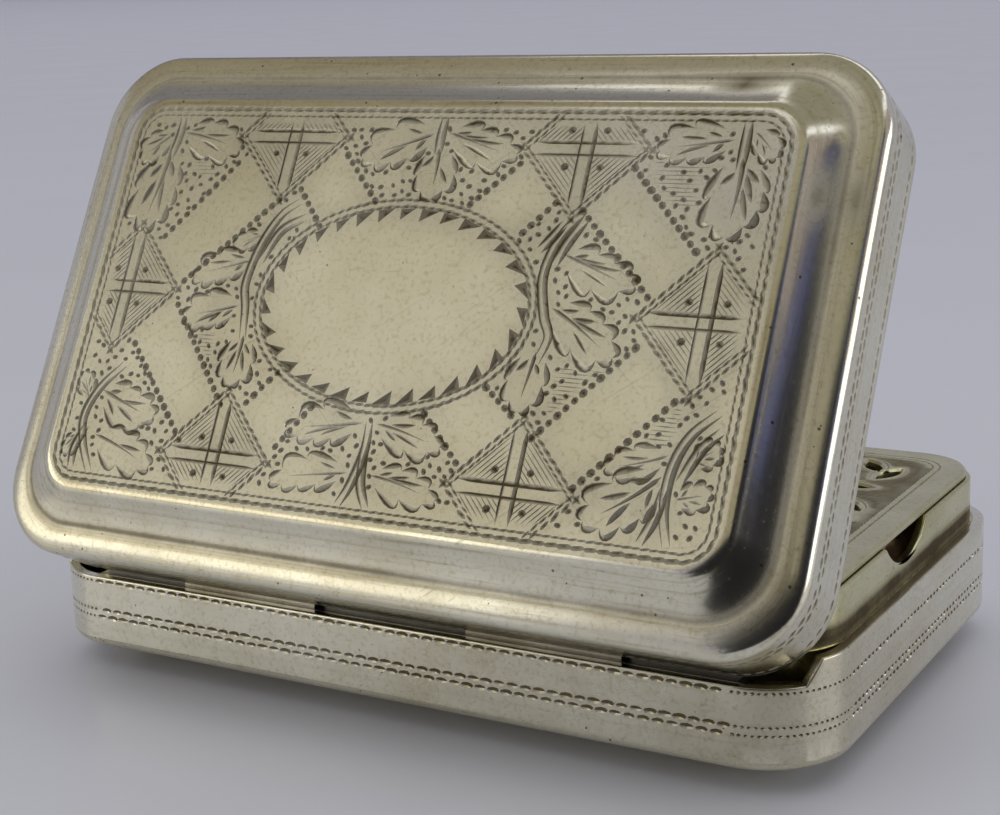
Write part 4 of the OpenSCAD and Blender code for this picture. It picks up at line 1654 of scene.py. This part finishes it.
@dataclass
class LidHinge:
    """Place of the lid hinge and the angle at which the lid stands open, from the frame."""

    y: float
    z: float
    open_angle: float

    @classmethod
    def from_frame(cls) -> "LidHinge":
        """Reads the lid's joint."""
        joint = joint_named("lid_hinge")
        _, y, z = joint["pos_m"]
        return cls(y / MM, z / MM, -math.radians(joint["range_deg"][0]))

    def opened(self, lift: float, flip: bool = False) -> Matrix:
        """Place of a shell drawn on the closed lid.

        Args:
            lift: Height of its z = 0 above the table when closed.
            flip: Whether it is drawn upside down.

        Returns:
            The matrix, in metres.
        """
        axis = Vector((0, self.y, self.z)) * MM
        turn = Matrix.Rotation(self.open_angle, 4, "X")
        return Matrix.Translation(axis) @ turn @ Matrix.Translation(-axis) @ lifted(lift, flip)


@dataclass
class Box:
    """The silver box: stamped sheets and upright walls of the base and the lid."""

    hinge: LidHinge
    corner_r: float = 3.5
    wall_t: float = 0.5
    lid_wall_h: float = 2.95
    front_cut: float = 0.95
    front_cut_y: float = -10.1
    front_slope: float = 0.13
    knuckle_r: float = 0.6
    saddle_room: float = 0.86
    base_knuckle_x: Point = (3.66, 10.84)
    base_rows: tuple[float, ...] = (1.05, 1.39, 2.74)
    lid_rows: tuple[float, ...] = (0.50, 0.84, 2.45)
    base_smears: tuple[Point, ...] = ((4.1, 0.0), (4.5, 0.12), (4.9, 0.24), (5.6, 0.2), (6.2, 0.04),
                                      (7.0, 0.0))

    def build(self, silver: Finish, gilt: Finish) -> None:
        """Builds and dresses the four pieces.

        Args:
            silver: Finish outside.
            gilt: Finish inside.
        """
        low, high = node_box("base_wall")
        outline = RoundRect(0, 0, high[0], high[1], self.corner_r)
        sheet = StampedSheet(high[0], high[1], self.corner_r)
        cuts = CutField()
        PanelPattern().engrave(cuts)
        finishes = (silver, gilt)
        lid_z = self.hinge.z + SEAM_GAP + self.lid_wall_h
        base_h = high[2] - low[2]
        lid_wall = WallBand(outline, self.wall_t, self._lid_lip(outline), self._knuckle_steps(outline),
                            self.lid_rows, *[SMALL_NICK] * 3)
        base_wall = WallBand(outline, self.wall_t, self._base_lip(outline, base_h),
                             self._front_steps(outline), self.base_rows, smears=self.base_smears)
        for shell, name, body, node, place in (
                (sheet.shell(cuts), "lid_top_engraved", "lid", "lid_top", self.hinge.opened(lid_z)),
                (sheet.shell(cuts), "base_pan_engraved", "base", "base_pan", lifted(low[2], True)),
                (lid_wall.shell(), "lid_wall_nicked", "lid", "lid_wall", self.hinge.opened(lid_z, True)),
                (base_wall.shell(), "base_wall_nicked", "base", "base_wall", lifted(low[2]))):
            settle(shell.build(name, finishes, place), body, "silver", node)

    def _front_steps(self, outline: RoundRect) -> tuple[float, ...]:
        """Stations at which the slopes at the ends of the base's front cut start and end."""
        reach = (-self.front_cut_y - outline.half_y + outline.radius) / outline.radius
        first = FRONT_SIDE - 1 + math.asin(reach) / (math.pi / 2)
        last = 2 * FRONT_SIDE + 1 - first
        return first, first + self.front_slope, last - self.front_slope, last

    def _base_lip(self, outline: RoundRect, height: float) -> Lip:
        """Lip of the base wall, cut down along the hinge.

        Args:
            outline: The wall's outline.
            height: Its height elsewhere.

        Returns:
            Height of the lip at a station and a depth.
        """
        steps = self._front_steps(outline)

        def lip(stations: Array, depth: float) -> Array:
            """Height of the lip at each station."""
            return height - self.front_cut * np.interp(stations, steps, (0.0, 1.0, 1.0, 0.0))

        return lip

    def _knuckle_steps(self, outline: RoundRect) -> tuple[float, ...]:
        """Stations at which the lid's scoops for the base knuckles start and end."""
        flat = outline.half_x - outline.radius
        ends = sorted(s * x for s in (-1, 1) for x in self.base_knuckle_x)
        return tuple(FRONT_SIDE + (x + flat) / (2 * flat) for x in ends)

    def _lid_lip(self, outline: RoundRect) -> Lip:
        """Lip of the lid wall, scooped along the front to clear the hinge.

        Args:
            outline: The wall's outline.

        Returns:
            Height of the lip at a station and a depth.
        """
        left_in, left_out, right_in, right_out = self._knuckle_steps(outline)
        axis_in = self.hinge.y + outline.half_y

        def lip(stations: Array, depth: float) -> Array:
            """Height of the lip at each station."""
            on_left = (stations > left_in) & (stations < left_out)
            base = on_left | (stations > right_in) & (stations < right_out)
            front = (stations >= FRONT_SIDE) & (stations <= FRONT_SIDE + 1)
            reach = np.where(base, self.saddle_room, self.knuckle_r)
            scoop = np.sqrt(np.maximum(reach ** 2 - (axis_in - depth) ** 2, 0.0))
            return self.lid_wall_h - np.where(front, np.maximum(scoop - SEAM_GAP, 0.0), 0.0)

        return lip


@dataclass
class Bezel:
    """Gilt rim inside the base wall, with a thumbnail notch and a seat for the grille's hinge."""

    thickness: float = 0.4
    side_clear: float = 0.08
    corner_r: float = 2.92
    notch_l: float = 5.1
    notch_d: float = 1.15
    notch_y: float = -0.2
    seat_half: float = 1.64
    seat_end: float = 2.38
    seat_r: float = 0.5
    end_r: float = 0.42
    edge_r: float = 0.09
    inner_dirt: float = 0.3
    streaks: Point = (0.7, 0.3)
    # Painted shade on the outer face, as (height above the ledge, strength): darkest low down.
    side_shade: tuple[Point, ...] = ((0.0, 0.5), (0.12, 0.8), (0.3, 1.0), (0.62, 1.0), (0.85, 0.35),
                                     (1.05, 0.0))

    def build(self, hinge: LidHinge, gilt: Finish) -> None:
        """Builds and dresses the bezel.

        Args:
            hinge: The lid's hinge, at the seam.
            gilt: Its finish.
        """
        low, high = node_box("bezel")
        _, grille_high = node_box("grille_plate")
        half_x = high[0] - self.side_clear
        back = grille_high[1] + (half_x - grille_high[0])
        outline = RoundRect(0, (low[1] + back) / 2, half_x, (back - low[1]) / 2, self.corner_r)
        flange = RoundRect(0, (low[1] + high[1]) / 2, high[0], (high[1] - low[1]) / 2, self.corner_r)
        stations = self._stations(outline)
        top, foot = high[2], low[2]
        ledge = hinge.z - SEAM_GAP
        rows = edge_rows(outline, stations, self._lip(outline, top), self.thickness, self.edge_r)
        foot_in = outline.ring(stations, foot, self.thickness)
        made = Shell()
        made.loft([foot_in, flange.ring(stations, foot), flange.ring(stations, ledge),
                   outline.ring(stations, ledge)])
        # Painted shade darkens the lower part of the outer face through the grime attribute.
        rises, dirt = zip(*self.side_shade)
        sides = [outline.ring(stations, ledge + rise) for rise in rises]
        made.loft(sides, grime_and_shade=dirt, streaked=self.streaks[0])
        made.loft([sides[-1], *rows, foot_in], streaked=self.streaks[1],
                  grime_and_shade=[dirt[-1]] + [0.0] * (len(rows) - 1) + [self.inner_dirt] * 2)
        settle(made.build("bezel_rim", (gilt,)), "base", "gilt", "bezel")

    def _stations(self, outline: RoundRect) -> Array:
        """Stations of the bezel's rings, close together along the notch and the hinge seat."""
        flat = outline.half_y - outline.radius
        sweep = np.sin(np.linspace(-math.pi / 2, math.pi / 2, 33)) * self.notch_l / 2
        notch = RIGHT_SIDE + (self.notch_y + sweep - outline.y + flat) / (2 * flat)
        ends = [s * y for s in (-1, 1) for y in (self.seat_half, self.seat_half + self.seat_end)]
        seat = [LEFT_SIDE + (flat - y) / (2 * flat) + k * STEP_WIDTH for y in ends for k in (-1, 1)]
        return ring_stations(CORNER_STEPS, [0.5, 4.5, 8.5, *notch, *seat])

    def _lip(self, outline: RoundRect, top: float) -> Lip:
        """Lip of the rim, lowered at the notch and under the grille's hinge.

        Args:
            outline: The rim's outline.
            top: Its height elsewhere.

        Returns:
            Height of the rim at a station and a depth.
        """
        notch_r = (self.notch_l ** 2 / 4 + self.notch_d ** 2) / (2 * self.notch_d)

        def lip(stations: Array, depth: float) -> Array:
            """Height of the rim at each station."""
            y = outline.at(stations)[:, 1]
            on_right = (stations > RIGHT_SIDE) & (stations < RIGHT_SIDE + 1)
            bow = np.sqrt(np.maximum(notch_r ** 2 - (y - self.notch_y) ** 2, 0.0)) - notch_r + self.notch_d
            notch = np.where(on_right, np.maximum(bow, 0.0), 0.0)
            on_left = (stations > LEFT_SIDE) & (stations < LEFT_SIDE + 1)
            from_middle = np.abs(y - outline.y)
            reach = np.where(from_middle < self.seat_half, self.seat_r, self.end_r)
            seated = on_left & (from_middle < self.seat_half + self.seat_end)
            scoop = np.sqrt(np.maximum(reach ** 2 - (self.end_r - depth) ** 2, 0.0))
            return top - notch - np.where(seated, scoop, 0.0)

        return lip


@cache
def barrel_tree() -> Tree:
    """Geometry tree of a hinge barrel or pin: a tube with rounded ends along X."""
    w, given = new_tree("hinge_barrel", {"Float": ("Outer radius", "Bore radius", "Length", "Edge radius"),
                                         "Vector": ("Place", "Turn")})
    outer, bore = given.out("Outer radius"), given.out("Bore radius")
    hoop = w.node("GeometryNodeCurvePrimitiveCircle", {"Resolution": 56, "Radius": (outer + bore) * 0.5})
    section = w.node("GeometryNodeCurvePrimitiveQuadrilateral", {
        "Width": outer - bore, "Height": given.out("Length")})
    eased = w.node("GeometryNodeFilletCurve", {
        "Curve": section, "Count": 4, "Radius": given.out("Edge radius")}, mode="POLY")
    tube = w.node("GeometryNodeCurveToMesh", {"Curve": hoop, "Profile Curve": eased})
    return end_tree(w, given, w.node("GeometryNodeTransform", {
        "Geometry": tube, "Translation": given.out("Place"), "Rotation": given.out("Turn")}))


@dataclass
class Barrel:
    """One barrel or pin of a hinge, at the place of its CAD node."""

    node: str
    body: str
    slot: str
    bore: float
    edge_r: float = 0.05

    def build(self, finish: Finish) -> None:
        """Builds and dresses the barrel.

        Args:
            finish: Its finish.
        """
        low, high = node_box(self.node)
        size = high - low
        axis = int(np.argmax(size))
        turn = (0.0, math.pi / 2, 0.0) if axis == 0 else (math.pi / 2, 0.0, 0.0)
        radius = np.delete(size, axis).min() / 2
        made = apply_tree(self.node + "_tube", bpy.data.meshes.new("start"), barrel_tree(), {
            "Outer radius": radius * MM, "Bore radius": self.bore * MM, "Length": size[axis] * MM,
            "Edge radius": self.edge_r * MM, "Place": tuple((low + high) / 2 * MM), "Turn": turn,
            "Finish": finish})
        work = bmesh.new()
        work.from_mesh(made)
        weld(work)
        work.to_mesh(made)
        work.free()
        made.shade_smooth()
        made.set_sharp_from_angle(angle=SHARP_ANGLE)
        settle(make_object(made.name, made, (finish,)), self.body, self.slot, self.node)


class Piercing(NamedTuple):
    """One pierced leaf of the grille."""

    middle: Point
    angle: float
    length: float
    width: float

    def outline(self, grow: float, steps: int = 9) -> Array:
        """Its outline, grown by a margin.

        Args:
            grow: The margin.
            steps: Steps along each of its two arcs.

        Returns:
            One (x, y) row for each point.
        """
        t = np.linspace(-1, 1, steps + 1)
        rise = (self.width / 2 + grow) * (1 - t * t)
        upper = np.stack([t * (self.length / 2 + grow * 1.6), rise], axis=1)
        ring = np.vstack([upper, (upper * (1, -1))[-2:0:-1]])
        cos, sin = math.cos(self.angle), math.sin(self.angle)
        return ring @ np.array([(cos, sin), (-sin, cos)]) + np.array(self.middle)


@dataclass
class Grille:
    """Pierced gilt plate over the sponge, engraved round its piercings."""

    radius: float = 2.72
    margin: float = 1.9
    seat_in: float = 0.24
    end_in: float = 0.42
    seat_half: float = 1.6
    seat_end: float = 2.38
    edge_r: float = 0.11
    petals: int = 8
    side_petals: int = 6
    petal_l: float = 2.4
    petal_w: float = 0.8
    petal_in: float = 1.0
    leaf_l: float = 2.0
    leaf_w: float = 0.75
    scroll_r: float = 2.9
    scroll_leaves: int = 7
    scroll_start: float = math.radians(20)
    scroll_sweep: float = math.radians(280)
    leaf_lean: float = math.radians(55)
    fan_in: float = 0.6
    fan_turn: float = math.radians(48)
    line_in: float = 1.15
    line_gap: float = 0.32
    cut_out: float = 0.26
    cut_w: float = 0.11
    crust_depth: float = 0.06
    plate_in: float = 0.1
    leaf_room: float = 0.36
    ground_in: float = 0.48
    ground_grow: float = 1.01
    ground_dirt: float = 0.8
    ground_step: float = 0.2
    ground_w: float = 0.135
    ground_soil: float = 0.85
    under_dirt: float = 0.2
    hole_dirt: Point = (0.1, 0.5)

    def build(self, gilt: Finish) -> None:
        """Builds and dresses the plate.

        Args:
            gilt: Its finish.
        """
        low, high = node_box("grille_plate")
        left = joint_named("grille_hinge")["pos_m"][0] / MM + self.plate_in
        middle = np.array([(left + high[0]) / 2, (low[1] + high[1]) / 2])
        half = np.array([(high[0] - left) / 2, (high[1] - low[1]) / 2])
        leaves = self._leaves(half - self.margin)
        cuts = CutField()
        self._engrave(cuts, half, leaves)
        holes = [leaf.outline(0.0) for leaf in leaves]
        eased = [leaf.outline(self.edge_r) for leaf in leaves]
        outline = self._outline(half, 0.0)

        def keep(middles: Array) -> Array:
            """Triangles on the plate and outside its holes."""
            return inside_polygon(middles, outline) & outside_all(middles, holes)

        face = cuts.sheet([outline, self._outline(half, self.edge_r), *holes, *eased], (), keep)
        rims = np.vstack([outline, *holes])
        rim_keys = {tuple(np.round(p, 3)) for p in rims}
        on_rim = np.array([tuple(np.round(p, 3)) in rim_keys for p in face.places])
        drop = np.where(on_rim, self.edge_r, face.depths)
        made = Shell()
        crust = np.minimum(face.depths / self.crust_depth, 1.0) * 0.9
        dirt = np.maximum(crust, self._ground(face.places, half, leaves))
        made.add(raised(face.places + middle, high[2] - drop), face.triangles, dirt, face.soil)
        under = CutField().sheet([outline, *holes], (), keep)
        made.add(raised(under.places + middle, low[2]), under.triangles, self.under_dirt)
        for loop in [outline, *holes]:
            made.loft([raised(loop + middle, high[2] - self.edge_r), raised(loop + middle, low[2])],
                      grime_and_shade=self.hole_dirt)
        settle(made.build("grille_pierced", (gilt,)), "grille", "gilt", "grille_plate")

    def _outline(self, half: Array, inset: float) -> Array:
        """Outline of the plate from its middle, with steps at its left for the hinge.

        Args:
            half: Half sizes of the plate.
            inset: Distance inwards.

        Returns:
            One (x, y) row for each point.
        """
        own, ends = self.seat_half, self.seat_half + self.seat_end
        flat = half[1] - self.radius
        plate = RoundRect(0, 0, half[0], half[1], self.radius)
        marks = [ends + inset, own - inset, -own + inset, -ends - inset]
        stations = ring_stations(12, [LEFT_SIDE + (flat - y) / (2 * flat) for y in marks])
        ring = plate.at(stations, inset)
        first = int(np.searchsorted(stations, LEFT_SIDE + (flat - marks[0]) / (2 * flat)))
        x = -half[0] + inset
        insets = (0.0, self.end_in, self.seat_in, self.end_in, 0.0)
        steps = [(x + d, mark) for i, mark in enumerate(marks) for d in insets[i:i + 2]]
        return np.vstack([ring[:first], steps, ring[first + 4:]])

    def _leaves(self, field_half: Array) -> list[Piercing]:
        """Every pierced leaf: three rosettes on the long axis, fans at the edges, scrolls in the corners.

        Args:
            field_half: Half sizes of the pierced field.

        Returns:
            The leaves.
        """
        found: list[Piercing] = []

        def spoke(x: float, y: float, a: float, start: float, *size: float) -> None:
            """A leaf that points away from a place."""
            r = start + size[0] / 2
            found.append(Piercing((x + r * math.cos(a), y + r * math.sin(a)), a, *size))

        def fan(x: float, y: float, facing: float) -> None:
            """Three leaves that open from a root."""
            for i in (-1, 0, 1):
                spoke(x, y, facing + i * self.fan_turn, self.fan_in, *leaf)

        leaf = (self.leaf_l, self.leaf_w)
        scroll_x, scroll_y = field_half - self.scroll_r
        side_x = (scroll_x + self.petal_in + self.petal_l) / 2
        for i in range(self.petals):
            spoke(0.0, 0.0, 2 * math.pi * i / self.petals, self.petal_in, self.petal_l, self.petal_w)
        for sx in (1, -1):
            for i in range(self.side_petals):
                a = 2 * math.pi * i / self.side_petals
                r = self.petal_in + self.leaf_l / 2
                found.append(Piercing((sx * (side_x + r * math.cos(a)), r * math.sin(a)),
                                      a if sx > 0 else math.pi - a, *leaf))
            fan(sx * field_half[0], 0.0, math.pi if sx > 0 else 0.0)
            for sy in (1, -1):
                fan(sx * side_x / 2, sy * field_half[1], -sy * math.pi / 2)
                for i in range(self.scroll_leaves):
                    a = self.scroll_start + self.scroll_sweep * i / (self.scroll_leaves - 1)
                    r = self.scroll_r - self.leaf_l / 2
                    x, y = scroll_x + r * math.cos(a), scroll_y + r * math.sin(a)
                    lean = a + self.leaf_lean
                    turn = math.atan2(sy * math.sin(lean), sx * math.cos(lean))
                    found.append(Piercing((sx * x, sy * y), turn, *leaf))
        return found

    def _engrave(self, cuts: CutField, half: Array, leaves: Sequence[Piercing]) -> None:
        """Cuts a double border line, an outline round each piercing and a lined ground between them.

        Args:
            cuts: Where the cuts go.
            half: Half sizes of the plate.
            leaves: Its piercings.
        """
        stations = ring_stations(10)
        for inset in (self.line_in, self.line_in + self.line_gap):
            ring = RoundRect(0, 0, half[0] - inset, half[1] - inset, self.radius - inset)
            FINE_ROPE.strike(cuts, [ring.at(stations)], closed=True)
        for leaf in leaves:
            ring = leaf.outline(self.cut_out, 12)
            n = len(ring) // 2
            for arc in (ring[1:n], ring[n + 1:]):
                cuts.stroke(arc, self.cut_w)
        taken = [leaf.outline(self.leaf_room) for leaf in leaves]
        corner = half - self.line_in - self.ground_in
        level_lines(cuts, tuple(-corner), tuple(corner), taken, self.ground_step, self.ground_w,
                    self.ground_soil, self._field(half))

    def _field(self, half: Array) -> Array:
        """Outline of the lined ground inside the border lines."""
        inset = self.line_in + self.ground_in
        field_edge = RoundRect(0, 0, half[0] - inset, half[1] - inset, self.radius - self.line_in)
        return field_edge.at(ring_stations(10))

    def _ground(self, places: Array, half: Array, leaves: Sequence[Piercing]) -> Array:
        """Dirt on the ground between the leaves at each place."""
        ground = inside_polygon(places, self._field(half) * self.ground_grow)
        clear = outside_all(places, [leaf.outline(self.leaf_room * 0.9) for leaf in leaves])
        return (ground & clear) * self.ground_dirt


@dataclass
class ScentSponge:
    """Natural sponge under the grille: a crowned block with pores."""

    cells: tuple[int, int, int] = (84, 52, 16)
    crown: float = 0.22
    pore_size: float = 1.15
    pore_depth: float = 0.5
    pore_reach: float = 0.42
    lump: float = 0.16
    lump_scale: float = 0.9
    rounding: float = 0.06
    room: float = 0.25
    foot_in: float = 0.11
    skin: float = 0.98

    def build(self, fibre: Finish) -> None:
        """Builds and dresses the sponge.

        Args:
            fibre: Its finish.
        """
        low, high = node_box("sponge")
        middle, half = (low + high) / 2, (high - low) / 2
        work = bmesh.new()
        bmesh.ops.create_cube(work, size=2.0)
        for axis, cuts in enumerate(self.cells):
            across = [e for e in work.edges
                      if abs((e.verts[0].co - e.verts[1].co).normalized()[axis]) > 0.9]
            bmesh.ops.subdivide_edges(work, edges=across, cuts=cuts, use_grid_fill=True)
        # Pore depth goes into the grime attribute, where it paints shade in the pores.
        dirt = work.verts.layers.float.new(GRIME_AND_SHADE)
        for vert in work.verts:
            vert.co, vert[dirt] = self._shaped(vert.co, middle, half)
        bmesh.ops.recalc_face_normals(work, faces=work.faces)
        mesh = bpy.data.meshes.new("sponge_pad")
        work.to_mesh(mesh)
        work.free()
        mesh.shade_smooth()
        piece = make_object("sponge_pad", mesh, (fibre,))
        settle(piece, "base", "sponge", "sponge")

    def _shaped(self, unit: Vector, middle: Array, half: Array) -> tuple[Vector, float]:
        """One point of the sponge.

        Args:
            unit: Its place on a cube from -1 to 1.
            middle: Middle of the sponge's room.
            half: Half sizes of that room.

        Returns:
            The point in metres, and how deep in a pore it lies.
        """
        u = np.array(unit)
        round_off = np.sqrt(1 - self.rounding / 2 * (np.roll(u, 1) ** 2 + np.roll(u, -1) ** 2))
        size = half - np.array([self.room, self.room, self.crown])
        place = u * round_off * size
        foot = max(0.0, -u[2])
        place[:2] *= 1 - self.foot_in * foot ** 3
        place[2] += self.crown * (1 - u[0] ** 2) * (1 - u[1] ** 2) * max(u[2], 0.0)
        spot = Vector(place + middle)
        near = noise.voronoi(spot / self.pore_size, distance_metric="DISTANCE")[0][0]
        pore = max(0.0, 1.0 - near / self.pore_reach) ** 0.7
        lump = noise.noise(spot * self.lump_scale) * self.lump
        push = np.sign(u) * (np.abs(u) > self.skin)
        place -= push * (pore * self.pore_depth + abs(lump))
        return Vector((place + middle) * MM), pore


# Stage


def facing(way: Triple, distance: float, roll: float = 0.0) -> Matrix:
    """Place of a flat thing that faces the box.

    Args:
        way: Direction from the box to it.
        distance: Distance from the box.
        roll: Turn about the line between them.

    Returns:
        The matrix, in metres.
    """
    aim = Vector(way).normalized()
    spot = (aim * distance + Vector((0, 0, BOX_MIDDLE))) * MM
    level = (-aim).to_track_quat("-Z", "Y")
    return Matrix.Translation(spot) @ (level @ Quaternion((0, 0, 1), roll)).to_matrix().to_4x4()


@dataclass(frozen=True)
class Lamp:
    """Softbox that lights the box from one way; its level is the brightness of its face."""

    name: str
    way: Triple
    width: float
    height: float
    colour: Triple
    level: float
    distance: float = 330.0

    def build(self) -> None:
        """Builds the lamp."""
        data = bpy.data.lights.new(self.name, "AREA")
        data.shape = "RECTANGLE"
        data.size = self.width * MM
        data.size_y = self.height * MM
        data.color = self.colour
        data.energy = self.level * math.pi * data.size * data.size_y
        lamp = linked(self.name, data)
        lamp.matrix_world = facing(self.way, self.distance)
        lamp.visible_camera = False


@dataclass(frozen=True)
class Card:
    """Card that shows only in reflections; its roll is in degrees."""

    name: str
    way: Triple
    width: float
    height: float
    colour: Colour
    distance: float = 260.0
    roll: float = 0.0

    def build(self) -> None:
        """Builds the card."""
        mesh = bpy.data.meshes.new(self.name)
        x, y = self.width * MM / 2, self.height * MM / 2
        mesh.from_pydata([(-x, -y, 0), (x, -y, 0), (x, y, 0), (-x, y, 0)], [], [(0, 1, 2, 3)])
        mesh.transform(facing(self.way, self.distance, math.radians(self.roll)))
        card = make_object(self.name, mesh, (CardPaper(self.name, self.colour).make(),))
        card.visible_camera = False
        card.visible_shadow = False
        card.visible_diffuse = False
        card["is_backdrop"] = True


BOX_MIDDLE = 12.0
BLACK: Colour = (0.012, 0.012, 0.02, 1.0)
KEY_WAY: Triple = (-0.571, -0.601, 0.559)
LAMPS = (
    Lamp("key_softbox", KEY_WAY, 250.0, 140.0, (1.0, 0.94, 0.81), 0.57),
    Lamp("low_strip", (-0.71, -0.66, 0.24), 310.0, 180.0, (1.0, 0.94, 0.78), 1.4, 420.0),
    Lamp("ceiling", (0.0, 0.05, 1.0), 3900.0, 3900.0, (0.97, 0.97, 1.0), 0.74, 2600.0),
    Lamp("edge_strip", (0.96, 0.12, 0.25), 200.0, 110.0, (0.95, 0.96, 1.0), 2.0, 240.0),
)
CARDS = (
    Card("dark_flag", (0.663, -0.481, 0.574), 300.0, 200.0, BLACK),
    Card("key_back", KEY_WAY, 280.0, 170.0, (0.02, 0.02, 0.02, 1.0), 345.0),
    Card("front_flag", (0.12, -0.95, 0.28), 170.0, 134.0, BLACK, 252.0),
    Card("low_flag", (0.58, -0.78, -0.02), 40.0, 30.0, BLACK, 44.0),
    Card("top_flag", (0.05, -0.02, 1.0), 230.0, 230.0, (0.47, 0.44, 0.31, 1.0), 258.0),
    Card("dusk_flag", (0.7655, -0.1627, 0.6225), 200.0, 112.0, (0.66, 0.575, 0.515, 1.0), 255.0, -23.0),
    Card("olive_flag", (0.361, -0.5155, 0.777), 100.0, 75.0, (0.62, 0.60, 0.42, 1.0), 255.0),
    Card("blue_flag", (0.679, -0.458, 0.574), 26.0, 160.0, (0.14, 0.17, 0.42, 1.0), 250.0, 27.0),
    Card("brown_flag", (0.04, -0.73, 0.68), 130.0, 200.0, (0.72, 0.65, 0.44, 1.0)),
    Card("warm_flag", (-0.60, -0.15, 0.785), 190.0, 190.0, (0.56, 0.49, 0.31, 1.0)),
    Card("grey_flag", (-0.587, 0.492, 0.643), 290.0, 170.0, (0.37, 0.36, 0.39, 1.0), 264.0),
)


@dataclass
class Studio:
    """Table, lights and camera."""

    eye: Triple = (41.59, -71.519, 30.92)
    target: Triple = (14.263, -25.54, 18.085)
    roll: float = math.radians(-2.211)
    focal_px: float = 1867.66
    clip: Point = (0.001, 20.0)
    table_half: float = 6000.0
    table_drop: float = 0.02
    sky: Colour = (0.38, 0.38, 0.45, 1.0)

    def build(self) -> None:
        """Builds the whole stage."""
        self._camera()
        self._table()
        self._sky()
        for item in (*LAMPS, *CARDS):
            item.build()

    def _camera(self) -> None:
        """Camera at the photograph's place."""
        data = bpy.data.cameras.new("view")
        data.sensor_width = SENSOR_W
        data.sensor_fit = "HORIZONTAL"
        data.lens = self.focal_px / IMAGE_W * SENSOR_W
        data.clip_start, data.clip_end = self.clip
        camera = linked("view", data)
        aim = Vector(self.target) - Vector(self.eye)
        level = aim.to_track_quat("-Z", "Y")
        camera.rotation_mode = "QUATERNION"
        camera.rotation_quaternion = level @ Quaternion((0, 0, 1), self.roll)
        camera.location = Vector(self.eye) * MM
        bpy.context.scene.camera = camera

    def _table(self) -> None:
        """Plain pale table under the box."""
        mesh = bpy.data.meshes.new("table")
        side = self.table_half * MM
        corners = [(-side, -side), (side, -side), (side, side), (-side, side)]
        mesh.from_pydata([(x, y, -self.table_drop * MM) for x, y in corners], [], [(0, 1, 2, 3)])
        make_object("table", mesh, (TableTop().make(),))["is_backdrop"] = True

    def _sky(self) -> None:
        """Even pale light from all round."""
        world = bpy.data.worlds.new("studio")
        world.use_nodes = True
        w = Wiring(world.node_tree)
        light = w.node("ShaderNodeBackground", {"Color": self.sky, "Strength": 1.0})
        w.node("ShaderNodeOutputWorld", {"Surface": light})
        bpy.context.scene.world = world


def dress_node(node: str, finish: Finish) -> None:
    """Gives a shown CAD node its finish."""
    shown = frame["nodes"][node]
    shown.data.materials.clear()
    shown.data.materials.append(finish)
    LOG.info("%s: dressed as it is", node)


def write_sizes() -> None:
    """Measures the CAD box and the visual model's box, and keeps neither."""
    boxes = {"cad": cad_box, "visual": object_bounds()}
    {name: [list(corner) for corner in box] for name, box in boxes.items()}


LID_BORE = 0.33
GRILLE_BORE = 0.23
PIN_BORE = 0.02


def main() -> None:
    """Builds the stage and every piece in order."""
    logging.basicConfig(level=logging.INFO, format="%(name)s %(message)s")
    bpy.context.scene.view_settings.view_transform = "Standard"
    Studio().build()
    silver, gilt, fibre = SILVER.make(), GILT.make(), SpongeFibre().make()
    # Darker copy of the silver for the hinge: painted shade for the hinge gap, with heavier tarnish.
    worn = SHADED_HINGE_SILVER.make()
    hinge = LidHinge.from_frame()
    Box(hinge).build(silver, gilt)
    Bezel().build(hinge, gilt)
    Grille().build(gilt)
    ScentSponge().build(fibre)
    for end in ("left", "middle", "right"):
        Barrel(f"lid_knuckle_{end}", "lid", "silver", LID_BORE).build(worn)
    for end in ("left", "right"):
        Barrel(f"base_knuckle_{end}", "base", "silver", LID_BORE).build(worn)
    for end, body in (("front", "base"), ("middle", "grille"), ("back", "base")):
        Barrel(f"grille_knuckle_{end}", body, "gilt", GRILLE_BORE).build(gilt)
    Barrel("lid_hinge_pin", "base", "silver", PIN_BORE).build(worn)
    Barrel("grille_hinge_pin", "base", "gilt", PIN_BORE).build(gilt)
    for node in ("base_bearer", "lid_bearer"):
        dress_node(node, worn)
    write_sizes()


if __name__ == "__main__":
    main()
